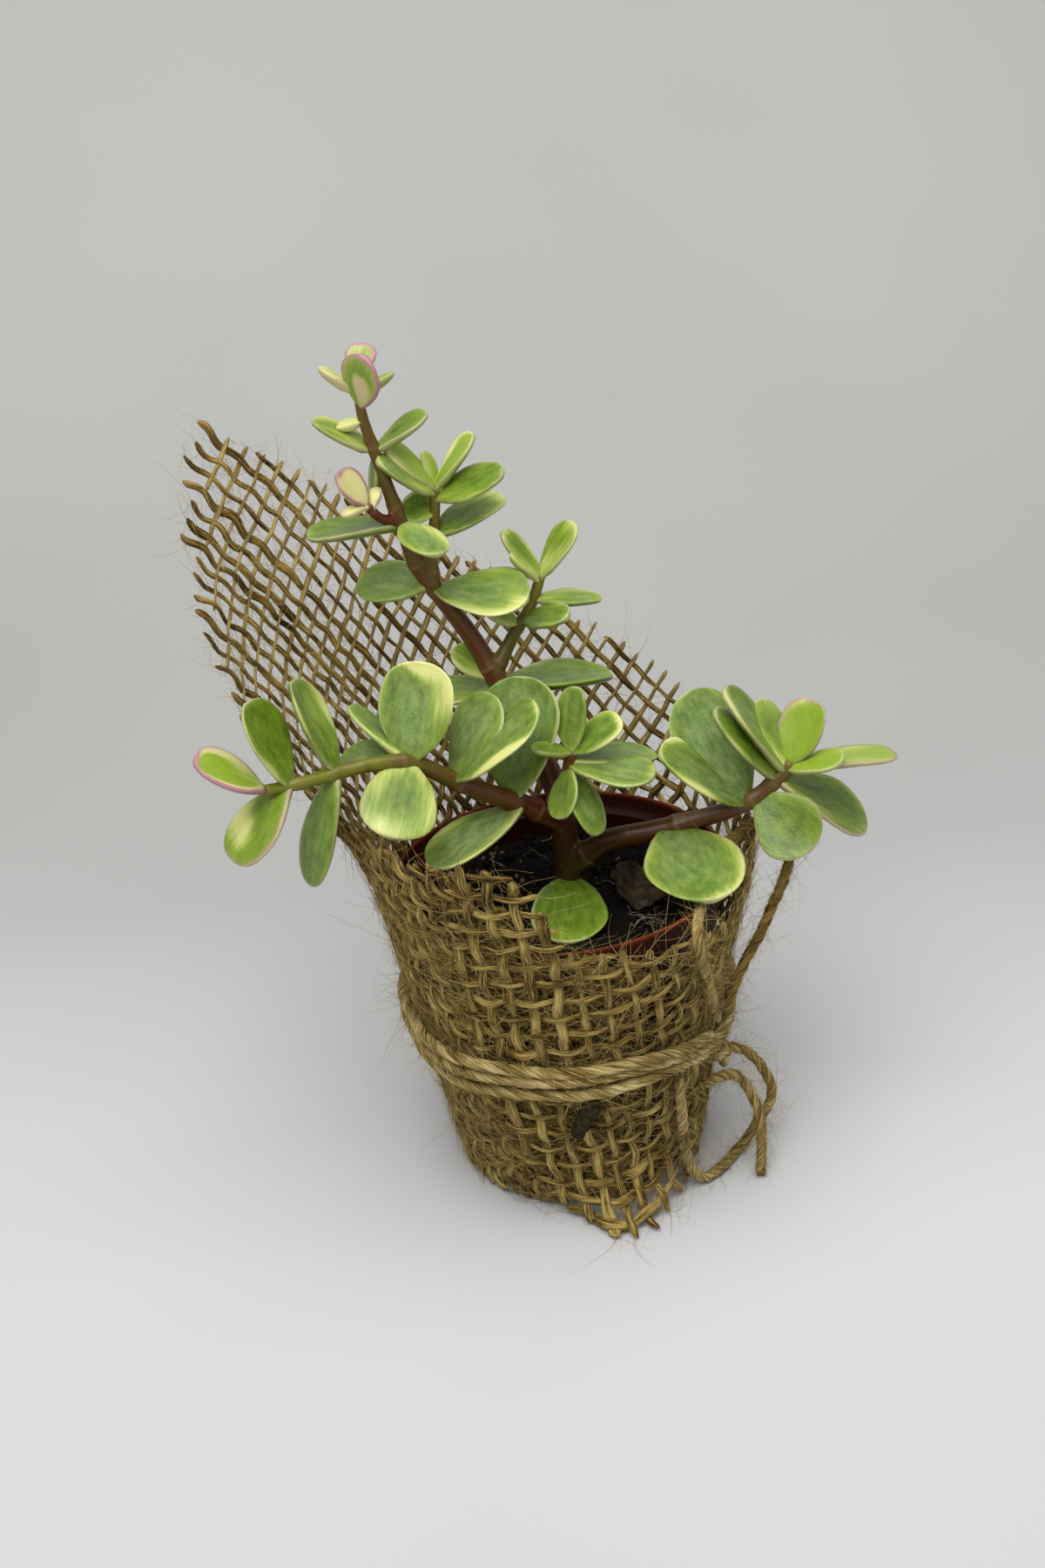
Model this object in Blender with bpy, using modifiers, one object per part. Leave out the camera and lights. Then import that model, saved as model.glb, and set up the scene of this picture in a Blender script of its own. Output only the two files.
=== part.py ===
"""Potted elephant bush: a young plant in a thin nursery pot, rolled in loose burlap and tied with twine.

World frame: +Z up, origin at the middle of the pot's base, on the table. The front is -Y.
A bearing is an angle round the pot seen from above: 0 front, 90 right, 180 back, 270 left.
Sizes are in millimetres here and turned to metres as the meshes are made.
"""
import math

import bmesh
import bpy
import numpy as np
from mathutils import Matrix, Vector, noise

MM = 0.001
GAP = 0.35                      # clearance between pieces that touch on the real object

# Nursery pot
POT_HEIGHT = 55.5
RIM_RADIUS = 29.0
BODY_RADIUS = 27.6              # outside of the wall just under the rim
BASE_RADIUS = 20.0
WALL = 0.9
LIP_DEPTH = 3.5
FLOOR = 1.3
DRAIN_COUNT = 6
DRAIN_RADIUS = 2.4
DRAIN_CIRCLE = 13.5
POT_STEPS = 40

# Soil
SOIL_TOP = 48.0
SOIL_LUMP = 0.9
SOIL_SEED = Vector((3.1, 7.4, 1.9))
HOLE_DEPTH = 30.0               # the trunk's hole, from its foot to above the soil

# Burlap wrap: one sheet of hessian rolled round the pot as a cone, its free corner up at the back left
CLOTH = 1.2                     # thickness of the shell
CONE_FOOT = 21.4                # middle of the cloth at the table
CONE_SPREAD = 0.170             # radius gained for each millimetre of height
CLOTH_FOOT = 1.2                # height of the bottom edge
NET_PITCH = 7.0
NET_BAR = 1.35                  # half of a bar of the open net
NET_START = 7.0                 # the net opens this far above the rim
OVERLAP = 2.0                   # how far the outer end lies outside the inner end
SQUARE_BEARING = -25.0          # the weave lies square to the pot here
LEAN_START = 57.0               # height where the flap begins to lean outward

# Height of the cloth's upper edge above the table, by bearing
TOP_EDGE = ((-27, 74), (-17, 74), (-13, 72.3), (-8.7, 70), (-6.9, 67.6), (-5.5, 63.7), (-3.4, 60),
            (0.4, 58.6), (5, 57.3), (13, 56.3), (33, 55.2), (38, 54.2), (50, 54.2), (62, 56.2),
            (72, 57.6), (80, 58.8), (92, 60), (105, 64), (120, 70), (138, 75), (155, 80), (180, 90),
            (200, 100), (215, 109), (228, 118), (240, 129))
FRAYED_EDGE = ((240, 129), (249, 117), (257, 108), (266, 98), (273, 87))
FOLDED_EDGE = ((278, 80), (284, 74), (291, 71.5), (300, 71.5), (315, 71.5), (328, 71.8), (338, 68),
               (350, 58), (383, 52))
OUTER_CUT = ((11, CLOTH_FOOT), (-4, 1.4), (-11, 3.4), (-20, 10), (-24.5, 15), (-29, 20.5), (-31, 26.5),
             (-35, 45), (-31, 60))
# How steeply the flap leans out of the cone, by bearing
LEAN = ((100, 0), (138, 0.09), (155, 0.09), (168, 0.12), (180, 0.17), (228, 0.17), (240, 0.22),
        (255, 0.30), (265, 0.35), (274, 0.40), (284, 0.26), (291, 0.06), (300, 0))
CORNER_BEARING = 11.0           # the outer end's lowest corner lies out on the table here
CORNER_REACH = 9.8
CORNER_SPANS = (13.0, 27.0)     # how quickly it draws in towards the cut end, and towards the bow
CORNER_HEIGHT = 11.0
LOOSE = 1.9                     # the cloth stands this far off the rim at the right
LOOSE_START = 38.0

# Jute twine
TWINE = 1.0                     # radius of the twine
TURNS = 3
TURN_RISE = 2.3
TURN_HEIGHT = 28.3
KNOT_BEARING = 61.0
KNOT_HEIGHT = 23.2
KNOT_DIP = 3.5
KNOT_RADII = (2.4, 1.8, 1.9)

BOW_UPPER = ((26.1, -14.6, 32.1), (26.8, -13.3, 34.0), (27.9, -11.9, 35.7), (29.0, -10.7, 37.3),
             (30.9, -9.0, 39.7), (33.2, -7.8, 42.8), (35.4, -7.0, 47.3), (37.6, -6.5, 51.9),
             (39.2, -5.8, 57.0), (38.9, -4.3, 60.6), (36.6, -3.3, 62.3), (33.4, -3.4, 61.9),
             (30.0, -4.8, 60.4), (26.4, -8.2, 58.1), (23.8, -13.8, 56.9), (22.2, -19.3, 56.5),
             (21.2, -23.6, 56.5), (20.5, -27.2, 56.7), (20.4, -29.5, 55.2), (20.7, -28.9, 52.8),
             (21.4, -26.9, 49.2), (22.3, -23.6, 43.7), (23.1, -20.8, 38.0), (23.8, -18.2, 33.6))
BOW_LOWER = ((25.9, -11.6, 22.6), (27.2, -9.8, 21.6), (28.8, -8.2, 20.0), (30.5, -7.4, 18.2),
             (32.2, -8.0, 16.0), (33.9, -9.0, 11.9), (33.3, -9.7, 8.9), (31.0, -10.4, 5.6),
             (28.6, -11.3, 2.3), (26.6, -12.8, 1.25), (24.6, -15.4, 1.15), (22.3, -17.8, 1.15),
             (19.8, -19.3, 1.4), (17.8, -20.2, 4.4), (17.0, -21.2, 9.6), (16.7, -22.6, 15.0),
             (16.5, -24.0, 21.5), (16.4, -25.0, 26.4))
TWINE_END = ((20.7, -20.0, 21.8), (22.8, -17.7, 20.9), (24.9, -15.6, 20.0), (27.0, -13.9, 18.6),
             (28.9, -13.1, 15.6), (30.3, -13.4, 12.0), (31.0, -14.3, 8.6), (30.9, -15.6, 5.0),
             (30.4, -17.6, 2.0), (30.0, -19.4, 1.15))

# Plant: each leafy stem is a route in millimetres, its radius at both ends, and its leaves.
# A leaf is (share of the stem's length, bearing, rise, roll, length, width as a share of length).
STEMS = {
    "stem_tall": {
        "route": ((2, 4, 37), (2, 4, 54), (1.5, 4, 64), (0, 6, 71), (-7, 11, 86), (-10.5, 13, 93.5),
                  (-15.5, 14, 102),
                  (-18.5, 14, 107.5), (-20, 13, 114.5), (-22.5, 12, 126), (-24, 11, 134),
                  (-24, 11, 139.5)),
        "radii": (2.7, 0.8),
        "leaves": (
            (0.13, 357, -6, 0, 18.0, 0.74),
            (1.00, 165, 48, 0, 6.5, 0.78), (0.96, 15, 60, 120, 10.0, 0.75), (0.98, 262, 40, 0, 7.5, 0.42),
            (0.98, 105, 26, 0, 6.5, 0.42), (0.94, 250, -10, -15, 5.0, 0.55),
            (0.89, 265, 36, -10, 11.0, 0.50),
            (0.89, 105, 31, 10, 10.5, 0.50), (0.88, 205, -56, -80, 10.5, 0.55),
            (0.77, 277, 4, -5, 15.5, 0.62),
            (0.77, 28, -9, 0, 12.5, 0.60), (0.77, 130, 21, 40, 8.0, 0.75),
            (0.66, 253, 2, -20, 13.0, 0.80),
            (0.65, 62, 2, 20, 17.0, 0.70), (0.48, 250, 38, -35, 9.0, 0.65), (0.47, 96, 0, -5, 19.5, 0.60),
            (0.46, 240, -5, -10, 16.5, 0.60)),
    },
    "branch_left": {
        "route": ((1.7, 4, 62), (-1, 2, 64.5), (-5, 0, 68), (-12, -3, 73), (-17, -5, 77), (-22, -7, 81),
                  (-28, -9, 82.4),
                  (-34, -11, 82.4), (-40, -14, 82.6), (-45, -16, 83)),
        "radii": (2.0, 0.9),
        "leaves": (
            (0.57, 135, 70, 25, 16.5, 0.82), (0.57, 345, -26, -20, 14.5, 0.88),
            (0.79, 237, 70, 15, 16.5, 0.55),
            (0.79, 296, -64, 10, 19.5, 0.50), (0.93, 242, 71, 0, 15.0, 0.70),
            (0.93, 292, -38, -20, 15.0, 0.70),
            (1.00, 285, 40, -20, 12.5, 0.68), (0.42, 79, 42, 20, 19.5, 0.66),
            (0.21, 150, 70, 5, 21.0, 0.70),
            (0.42, 128, 55, 0, 15.5, 0.72), (0.59, 240, 0, -10, 12.5, 0.75),
            (0.58, 225, 34, 25, 14.0, 0.50),
            (0.17, 306, -9, 5, 20.0, 0.62)),
    },
    "branch_right": {
        "route": ((2, 4, 53.5), (5, 2, 56), (9, 0, 59.5), (16, -2, 61.5), (22, -3, 63), (32, -5, 66.5),
                  (38, -5, 71),
                  (40, -5, 73)),
        "radii": (2.2, 1.2),
        "leaves": (
            (0.78, 235, 60, -15, 21.0, 0.72), (0.77, 290, 44, -30, 19.5, 0.55),
            (0.92, 286, 56, -30, 17.5, 0.50),
            (0.96, 264, 61, -15, 18.0, 0.50), (0.97, 213, 61, 10, 12.5, 0.70),
            (0.99, 122, 62, 15, 11.5, 0.76),
            (0.99, 96, 2, 0, 18.0, 0.52), (0.97, 58, 21, 15, 10.5, 0.60),
            (0.92, 104, -32, 25, 20.0, 0.60),
            (0.82, 41, -28, 45, 13.0, 0.86), (0.45, 15, -7, 0, 20.5, 0.80)),
    },
    "shoot_centre": {
        "route": ((0.8, 5.2, 66), (2, 1, 69), (3, -1, 73), (4, -2, 78)),
        "radii": (1.5, 0.9),
        "leaves": (
            (0.97, 155, 72, -20, 11.0, 0.62), (0.97, 96, 31, 25, 10.0, 0.72),
            (0.97, 284, 21, -5, 7.0, 0.60),
            (0.80, 65, 0, 5, 15.0, 0.62), (0.85, 107, -4, 0, 15.5, 0.52), (0.80, 337, -43, 20, 9.5, 0.66),
            (0.72, 26, -42, -20, 12.0, 0.60)),
    },
}
# Side shoots that grow from the tall stem and belong to its node
SIDE_SHOOTS = (
    {"route": ((-16.3, 14, 103.5), (-16, 15, 108), (-15, 15, 112), (-14, 15, 119.5)), "radii": (1.3, 0.8),
     "leaves": ((1.00, 270, 52, -15, 12.0, 0.50), (0.95, 302, 42, -30, 12.5, 0.50),
                (1.00, 100, 53, 10, 11.0, 0.50),
                (1.00, 193, 52, 30, 7.0, 0.45), (0.98, 127, 12, -5, 8.5, 0.45),
                (0.90, 71, 21, 30, 13.0, 0.60),
                (0.52, 109, 21, 15, 13.5, 0.62))},
    {"route": ((-7.6, 11.5, 87.5), (-3, 14, 94), (0, 15, 98), (2, 15, 103)), "radii": (1.3, 0.8),
     "leaves": ((0.98, 249, 55, -5, 10.0, 0.52), (0.96, 100, 56, 20, 11.0, 0.58),
                (0.94, 307, 51, -35, 8.0, 0.42),
                (0.96, 203, 34, 35, 6.5, 0.50), (0.76, 80, 2, 5, 11.5, 0.50),
                (0.54, 46, 15, 25, 10.5, 0.60),
                (0.50, 291, 39, -35, 7.0, 0.60))},
    {"route": ((-20.4, 12.8, 115.5), (-23, 10, 117), (-25, 8, 120)), "radii": (0.9, 0.7),
     "leaves": ((1.00, 270, 58, -25, 7.0, 0.90), (1.00, 295, -5, -10, 4.5, 0.60),
                (0.85, 150, 50, 0, 4.0, 0.60))},
)
LEAF_THICKNESS = 2.1
LEAF_STATIONS = (0.0, 0.25, 0.55, 0.82, 0.96)
SMALL_LEAF = 9.0
SMALL_LEAF_STATIONS = (0.0, 0.5, 0.9)
LEAF_DROOP = 0.05


def clear_scene():
    for old in list(bpy.data.objects):
        bpy.data.objects.remove(old, do_unlink=True)


def make_collection(name):
    collection = bpy.data.collections.new(name)
    bpy.context.scene.collection.children.link(collection)
    return collection


clear_scene()
PLANT = make_collection("potted_elephant_bush")
CUTTERS = make_collection("cutters")


def make_material(name, colour, roughness, metallic=0.0):
    material = bpy.data.materials.new(name)
    material.use_nodes = True
    shader = material.node_tree.nodes["Principled BSDF"]
    shader.inputs["Base Color"].default_value = (*colour, 1.0)
    shader.inputs["Roughness"].default_value = roughness
    shader.inputs["Metallic"].default_value = metallic
    return material


def add_object(name, mesh, material=None, collection=PLANT):
    thing = bpy.data.objects.new(name, mesh)
    collection.objects.link(thing)
    if material:
        mesh.materials.clear()
        mesh.materials.append(material)
    return thing


def mesh_from(bm, name):
    bmesh.ops.recalc_face_normals(bm, faces=bm.faces)
    mesh = bpy.data.meshes.new(name)
    bm.to_mesh(mesh)
    bm.free()
    return mesh


def soften(thing, angle=50.0):
    thing.data.shade_smooth()
    thing.data.set_sharp_from_angle(angle=math.radians(angle))


def add_cutter(name, bm):
    cutter = add_object(name, mesh_from(bm, name), collection=CUTTERS)
    cutter.hide_render = True
    cutter.display_type = "WIRE"
    return cutter


def cut_with(thing, cutter):
    cut = thing.modifiers.new(f"cut_{cutter.name}", "BOOLEAN")
    cut.operation = "DIFFERENCE"
    cut.object = cutter


def apply_modifiers(thing):
    """Replace an object's mesh by what its modifiers make of it."""
    bpy.context.view_layer.update()
    evaluated = thing.evaluated_get(bpy.context.evaluated_depsgraph_get())
    mesh = bpy.data.meshes.new_from_object(evaluated)
    thing.modifiers.clear()
    thing.data = mesh


def turned(name, profile, material, steps):
    """A solid of revolution: the profile starts and ends on the axis and runs down its outer side."""
    mesh = bpy.data.meshes.new(name)
    corners = [(radius * MM, 0.0, height * MM) for radius, height in profile]
    mesh.from_pydata(corners, [(i, i + 1) for i in range(len(corners) - 1)], [])
    thing = add_object(name, mesh, material)
    screw = thing.modifiers.new("turn", "SCREW")
    screw.steps = steps
    screw.render_steps = steps
    screw.use_merge_vertices = True
    screw.merge_threshold = 0.00001
    return thing


def smooth_route(points, per_span):
    """A Catmull-Rom curve through the points."""
    points = [Vector(point) for point in points]
    ends = [2 * points[0] - points[1], *points, 2 * points[-1] - points[-2]]
    route = []
    for i in range(1, len(ends) - 2):
        a, b, c, d = ends[i - 1:i + 3]
        for k in range(per_span):
            t = k / per_span
            route.append(0.5 * (2 * b + (c - a) * t + (2 * a - 5 * b + 4 * c - d) * t ** 2
                                + (3 * b - a - 3 * c + d) * t ** 3))
    route.append(points[-1])
    return route


def run_lengths(route):
    lengths = [0.0]
    for a, b in zip(route, route[1:]):
        lengths.append(lengths[-1] + (b - a).length)
    return lengths


def tube_curve(name, route, radii):
    """A round tube along the route, its radius changing evenly from one end to the other."""
    curve = bpy.data.curves.new(name, "CURVE")
    curve.dimensions = "3D"
    curve.bevel_depth = MM
    curve.bevel_resolution = 2
    curve.use_fill_caps = True
    spline = curve.splines.new("POLY")
    spline.points.add(len(route) - 1)
    lengths = run_lengths(route)
    for point, place, length in zip(spline.points, route, lengths):
        point.co = (*(place * MM), 1.0)
        point.radius = radii[0] + (radii[1] - radii[0]) * length / lengths[-1]
    return curve


def tube_mesh(name, route, radii):
    """The same tube as a closed mesh, for a piece that a Boolean joins or cuts."""
    guide = bpy.data.objects.new(f"{name}_guide", tube_curve(name, route, radii))
    CUTTERS.objects.link(guide)
    bpy.context.view_layer.update()
    mesh = bpy.data.meshes.new_from_object(guide.evaluated_get(bpy.context.evaluated_depsgraph_get()))
    bpy.data.objects.remove(guide, do_unlink=True)
    bm = bmesh.new()
    bm.from_mesh(mesh)
    bmesh.ops.remove_doubles(bm, verts=bm.verts, dist=0.01 * MM)
    bm.to_mesh(mesh)
    bm.free()
    return mesh


def by_bearing(table, bearing):
    return float(np.interp(bearing, [row[0] for row in table], [row[1] for row in table]))


# Pot: a thin moulded cup with a rolled lip and drain holes round the middle of its floor
def wall_radius(height):
    return BASE_RADIUS + (BODY_RADIUS - BASE_RADIUS) * height / (POT_HEIGHT - LIP_DEPTH)


def around(bearing, radius, height):
    angle = math.radians(bearing)
    return Vector((radius * math.sin(angle), -radius * math.cos(angle), height))


def make_pot():
    lip_foot = POT_HEIGHT - LIP_DEPTH
    profile = (
        (0, FLOOR), (BASE_RADIUS - WALL, FLOOR), (wall_radius(lip_foot) - WALL, lip_foot),
        (RIM_RADIUS - WALL, lip_foot + 1.2), (RIM_RADIUS - WALL, POT_HEIGHT - 0.4),
        (RIM_RADIUS - 0.7, POT_HEIGHT),
        (RIM_RADIUS - 0.2, POT_HEIGHT), (RIM_RADIUS, POT_HEIGHT - 0.5), (RIM_RADIUS, lip_foot),
        (wall_radius(lip_foot), lip_foot - 0.2), (BASE_RADIUS + 0.15, 0.8), (BASE_RADIUS - 0.5, 0),
        (0, 0))
    plastic = make_material("terracotta_polypropylene", (0.42, 0.08, 0.03), 0.45)
    pot = turned("pot", profile, plastic, POT_STEPS)
    holes = bmesh.new()
    for i in range(DRAIN_COUNT):
        place = Matrix.Translation(around(360 * i / DRAIN_COUNT, DRAIN_CIRCLE, 0) * MM)
        bmesh.ops.create_cone(holes, cap_ends=True, segments=10, radius1=DRAIN_RADIUS * MM,
                              radius2=DRAIN_RADIUS * MM, depth=4 * FLOOR * MM, matrix=place)
    cut_with(pot, add_cutter("drain_holes", holes))


# Soil: fills the pot to 7 mm under the rim, with a plain hole for the trunk
def make_soil():
    foot = FLOOR + GAP
    depth = SOIL_TOP - foot
    bm = bmesh.new()
    bmesh.ops.create_cone(
        bm, cap_ends=True, segments=32, depth=depth * MM,
        radius1=(wall_radius(foot) - WALL - GAP) * MM, radius2=(wall_radius(SOIL_TOP) - WALL - GAP) * MM,
        matrix=Matrix.Translation((0, 0, (foot + depth / 2) * MM)))
    top = max(bm.faces, key=lambda face: face.calc_center_median().z)
    edge = set(top.verts)
    for _ in range(4):
        bmesh.ops.inset_region(bm, faces=[top], thickness=5.2 * MM, use_even_offset=True)
    bmesh.ops.poke(bm, faces=[top])
    for vert in bm.verts:
        if vert.co.z > (SOIL_TOP - 1) * MM and vert not in edge:
            vert.co.z += SOIL_LUMP * MM * noise.noise(vert.co * 130 + SOIL_SEED)
    peat = make_material("peat_soil", (0.012, 0.009, 0.007), 0.95)
    soil = add_object("soil", mesh_from(bm, "soil"), peat)
    trunk = STEMS["stem_tall"]["route"][0]
    middle = Vector((trunk[0], trunk[1], trunk[2] - GAP + HOLE_DEPTH / 2)) * MM
    hole = bmesh.new()
    radius = (STEMS["stem_tall"]["radii"][0] + GAP) * MM
    bmesh.ops.create_cone(hole, cap_ends=True, segments=16, radius1=radius, radius2=radius,
                          depth=HOLE_DEPTH * MM, matrix=Matrix.Translation(middle))
    cut_with(soil, add_cutter("trunk_hole", hole))


# Burlap wrap
CONE_SLOPE = math.atan(CONE_SPREAD)
APEX_DEPTH = CONE_FOOT / CONE_SPREAD


def flat_place(bearing, height):
    """Where a point of the wrap lies on the flat, unrolled cloth."""
    reach = (height + APEX_DEPTH) / math.cos(CONE_SLOPE)
    angle = math.radians(bearing - SQUARE_BEARING) * math.sin(CONE_SLOPE)
    return Vector((reach * math.sin(angle), reach * math.cos(angle), 0))


def rolled_place(flat):
    """The bearing and height that a point of the flat cloth takes when it is rolled round the pot."""
    reach = math.hypot(flat.x, flat.y)
    bearing = SQUARE_BEARING + math.degrees(math.atan2(flat.x, flat.y)) / math.sin(CONE_SLOPE)
    return bearing, reach * math.cos(CONE_SLOPE) - APEX_DEPTH


def layer_offset(bearing):
    """The outer end lies over the inner one across the front, and sinks onto the pot at the right."""
    return OVERLAP * float(np.interp(bearing, (26, 75), (1, 0)))


def wrap_radius(bearing, height):
    above = max(0.0, height - LEAN_START)
    lean = by_bearing(LEAN, bearing) * above ** 2 / (above + 5)
    loose = 0.0
    if 0 < bearing < 180:
        loose = LOOSE * math.sin(math.radians(bearing)) * min(1.0, max(0.0, (height - LOOSE_START) / 17))
    away = (bearing - CORNER_BEARING) / CORNER_SPANS[bearing > CORNER_BEARING]
    corner = CORNER_REACH * math.exp(-away ** 2) * max(0.0, 1 - height / CORNER_HEIGHT) ** 2
    return CONE_FOOT + CONE_SPREAD * height + layer_offset(bearing) + lean + loose + corner


def fringe(points, count, length, width):
    """Points along a straight cut with thread ends standing out of it, on the flat cloth."""
    start, end = points
    along = (end - start) / count
    out = Vector((along.y, -along.x, 0)).normalized() * length
    half = along.normalized() * width / 2
    line = []
    for i in range(count):
        middle = start + along * (i + 0.5)
        reach = out * (0.7 + 0.3 * math.sin(2.4 * i))
        line += [middle - half, middle - half * 0.7 + reach, middle + half * 0.7 + reach, middle + half]
    return line


def cloth_outline():
    """The cut shape of the cloth on the flat, as one loop of points."""
    bearings = list(np.arange(TOP_EDGE[0][0], TOP_EDGE[-1][0], 9.0))
    loop = [flat_place(bearing, by_bearing(TOP_EDGE, bearing)) for bearing in bearings]
    corners = [flat_place(*place) for place in FRAYED_EDGE]
    for pair in zip(corners, corners[1:]):
        loop.append(pair[0])
        loop += fringe((pair[1], pair[0]), 2, 5.0, 2.0)[::-1]
    loop.append(corners[-1])
    loop += [flat_place(*place) for place in FOLDED_EDGE]
    end = FOLDED_EDGE[-1][0]
    for bearing in np.arange(end, OUTER_CUT[0][0], -9.0):
        loop.append(flat_place(bearing, CLOTH_FOOT))
    loop += [flat_place(*place) for place in OUTER_CUT]
    return loop


def make_burlap():
    bm = bmesh.new()
    outline = bm.faces.new([bm.verts.new(point * MM) for point in cloth_outline()])
    bmesh.ops.triangulate(bm, faces=[outline], ngon_method="EAR_CLIP")
    bmesh.ops.dissolve_limit(bm, angle_limit=0.001, verts=bm.verts, edges=bm.edges)
    low = [min(vert.co[axis] for vert in bm.verts) for axis in (0, 1)]
    high = [max(vert.co[axis] for vert in bm.verts) for axis in (0, 1)]
    for axis in (0, 1):
        normal = Vector((1 - axis, axis, 0))
        for place in np.arange(low[axis] + NET_PITCH * MM / 2, high[axis], NET_PITCH * MM):
            bmesh.ops.bisect_plane(bm, geom=[*bm.verts, *bm.edges, *bm.faces], dist=0.02 * MM,
                                   plane_co=normal * place, plane_no=normal)
    bmesh.ops.remove_doubles(bm, verts=bm.verts, dist=0.7 * MM)
    bmesh.ops.dissolve_degenerate(bm, dist=0.05 * MM, edges=bm.edges)
    full_cell = (NET_PITCH * MM) ** 2
    open_cells = []
    for face in bm.faces:
        bearing, height = rolled_place(face.calc_center_median() / MM)
        if face.calc_area() > 0.8 * full_cell and height > POT_HEIGHT + NET_START and 95 < bearing < 290:
            open_cells.append(face)
    bmesh.ops.inset_individual(bm, faces=open_cells, thickness=NET_BAR * MM)
    bmesh.ops.delete(bm, geom=open_cells, context="FACES")
    for vert in bm.verts:
        bearing, height = rolled_place(vert.co / MM)
        vert.co = around(bearing, wrap_radius(bearing, height), height) * MM
    hessian = make_material("jute_hessian", (0.36, 0.25, 0.12), 0.9)
    burlap = add_object("burlap_wrap", mesh_from(bm, "burlap_wrap"), hessian)
    shell = burlap.modifiers.new("cloth", "SOLIDIFY")
    shell.thickness = CLOTH * MM
    shell.offset = 0.0


# Twine: three turns round the waist, a knot, a bow of two loops and one free end
def turn_place(angle):
    """A point of the winding, by the angle run since its start."""
    start = KNOT_BEARING + 13
    bearing = (start + angle + 35) % 360 - 35
    step_up = OVERLAP * float(np.interp(bearing, (-35, 26, 75, 290, 322, 325), (1, 1, 0, 0, 1, 1)))
    away = (bearing - KNOT_BEARING) / 28
    height = TURN_HEIGHT + TURN_RISE * angle / 360 - KNOT_DIP * math.exp(-away ** 2)
    radius = CONE_FOOT + CONE_SPREAD * height + step_up + CLOTH / 2 + GAP + TWINE + 0.15
    return around(bearing, radius, height)


def make_twine():
    jute = make_material("jute_twine", (0.42, 0.30, 0.16), 0.9)
    run = 360 * TURNS - 26
    steps = TURNS * 26
    winding = [turn_place(run * i / steps) for i in range(steps + 1)]
    add_object("twine_turns", tube_curve("twine_turns", winding, (TWINE, TWINE)), jute)
    free = {"twine_bow_upper": BOW_UPPER, "twine_bow_lower": BOW_LOWER, "twine_end": TWINE_END}
    for name, points in free.items():
        add_object(name, tube_curve(name, smooth_route(points, 2), (TWINE, TWINE)), jute)
    bm = bmesh.new()
    radius = wrap_radius(KNOT_BEARING, KNOT_HEIGHT) + CLOTH / 2 + GAP + KNOT_RADII[1]
    place = Matrix.Translation(around(KNOT_BEARING, radius, KNOT_HEIGHT) * MM)
    turn = Matrix.Rotation(math.radians(KNOT_BEARING), 4, "Z")
    size = Matrix.Diagonal((*(Vector(KNOT_RADII) * MM), 1))
    bmesh.ops.create_uvsphere(bm, u_segments=12, v_segments=8, radius=1.0, matrix=place @ turn @ size)
    add_object("twine_knot", mesh_from(bm, "twine_knot"), jute)


# Plant
def heading(bearing, rise):
    flat = math.cos(math.radians(rise))
    return around(bearing, flat, math.sin(math.radians(rise)))


def leaf_half_width(t, length, fullness):
    """Obovate outline: narrow at the stem, widest past the middle, with a round tip."""
    shape = t ** 0.75 * (1 - t) ** 0.45
    widest = 0.625 ** 0.75 * 0.375 ** 0.45
    return max(0.85 * (1 - t), length * fullness / 2 * shape / widest)


def leaf_mesh(name, base, bearing, rise, roll, length, fullness):
    """A thick leaf: six-sided lens sections from the stem's middle to a round tip."""
    along = heading(bearing, rise)
    upper = (Vector((0, 0, 1)) - along * along.z).normalized()
    upper = Matrix.Rotation(math.radians(roll), 3, along) @ upper
    side = along.cross(upper)
    bm = bmesh.new()
    rings = []
    for t in LEAF_STATIONS if length > SMALL_LEAF else SMALL_LEAF_STATIONS:
        half = leaf_half_width(t, length, fullness)
        thick = LEAF_THICKNESS / 2 * (1 - 0.5 * t ** 3)
        middle = base + along * length * t - upper * length * LEAF_DROOP * t ** 2
        section = ((half, 0), (0.55 * half, thick), (-0.55 * half, thick), (-half, 0),
                   (-0.55 * half, -thick), (0.55 * half, -thick))
        rings.append([bm.verts.new((middle + side * x + upper * y) * MM) for x, y in section])
    tip = bm.verts.new((base + along * length - upper * length * LEAF_DROOP) * MM)
    bm.faces.new(rings[0])
    for a, b in zip(rings, rings[1:]):
        for i in range(6):
            j = (i + 1) % 6
            bm.faces.new((a[i], a[j], b[j], b[i]))
    for i in range(6):
        bm.faces.new((rings[-1][i], rings[-1][(i + 1) % 6], tip))
    bmesh.ops.triangulate(bm, faces=bm.faces)
    return mesh_from(bm, name)


def place_on(route, share):
    lengths = run_lengths(route)
    wanted = share * lengths[-1]
    for i in range(1, len(route)):
        if lengths[i] >= wanted or i == len(route) - 1:
            part = (wanted - lengths[i - 1]) / (lengths[i] - lengths[i - 1])
            return route[i - 1].lerp(route[i], part)


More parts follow.
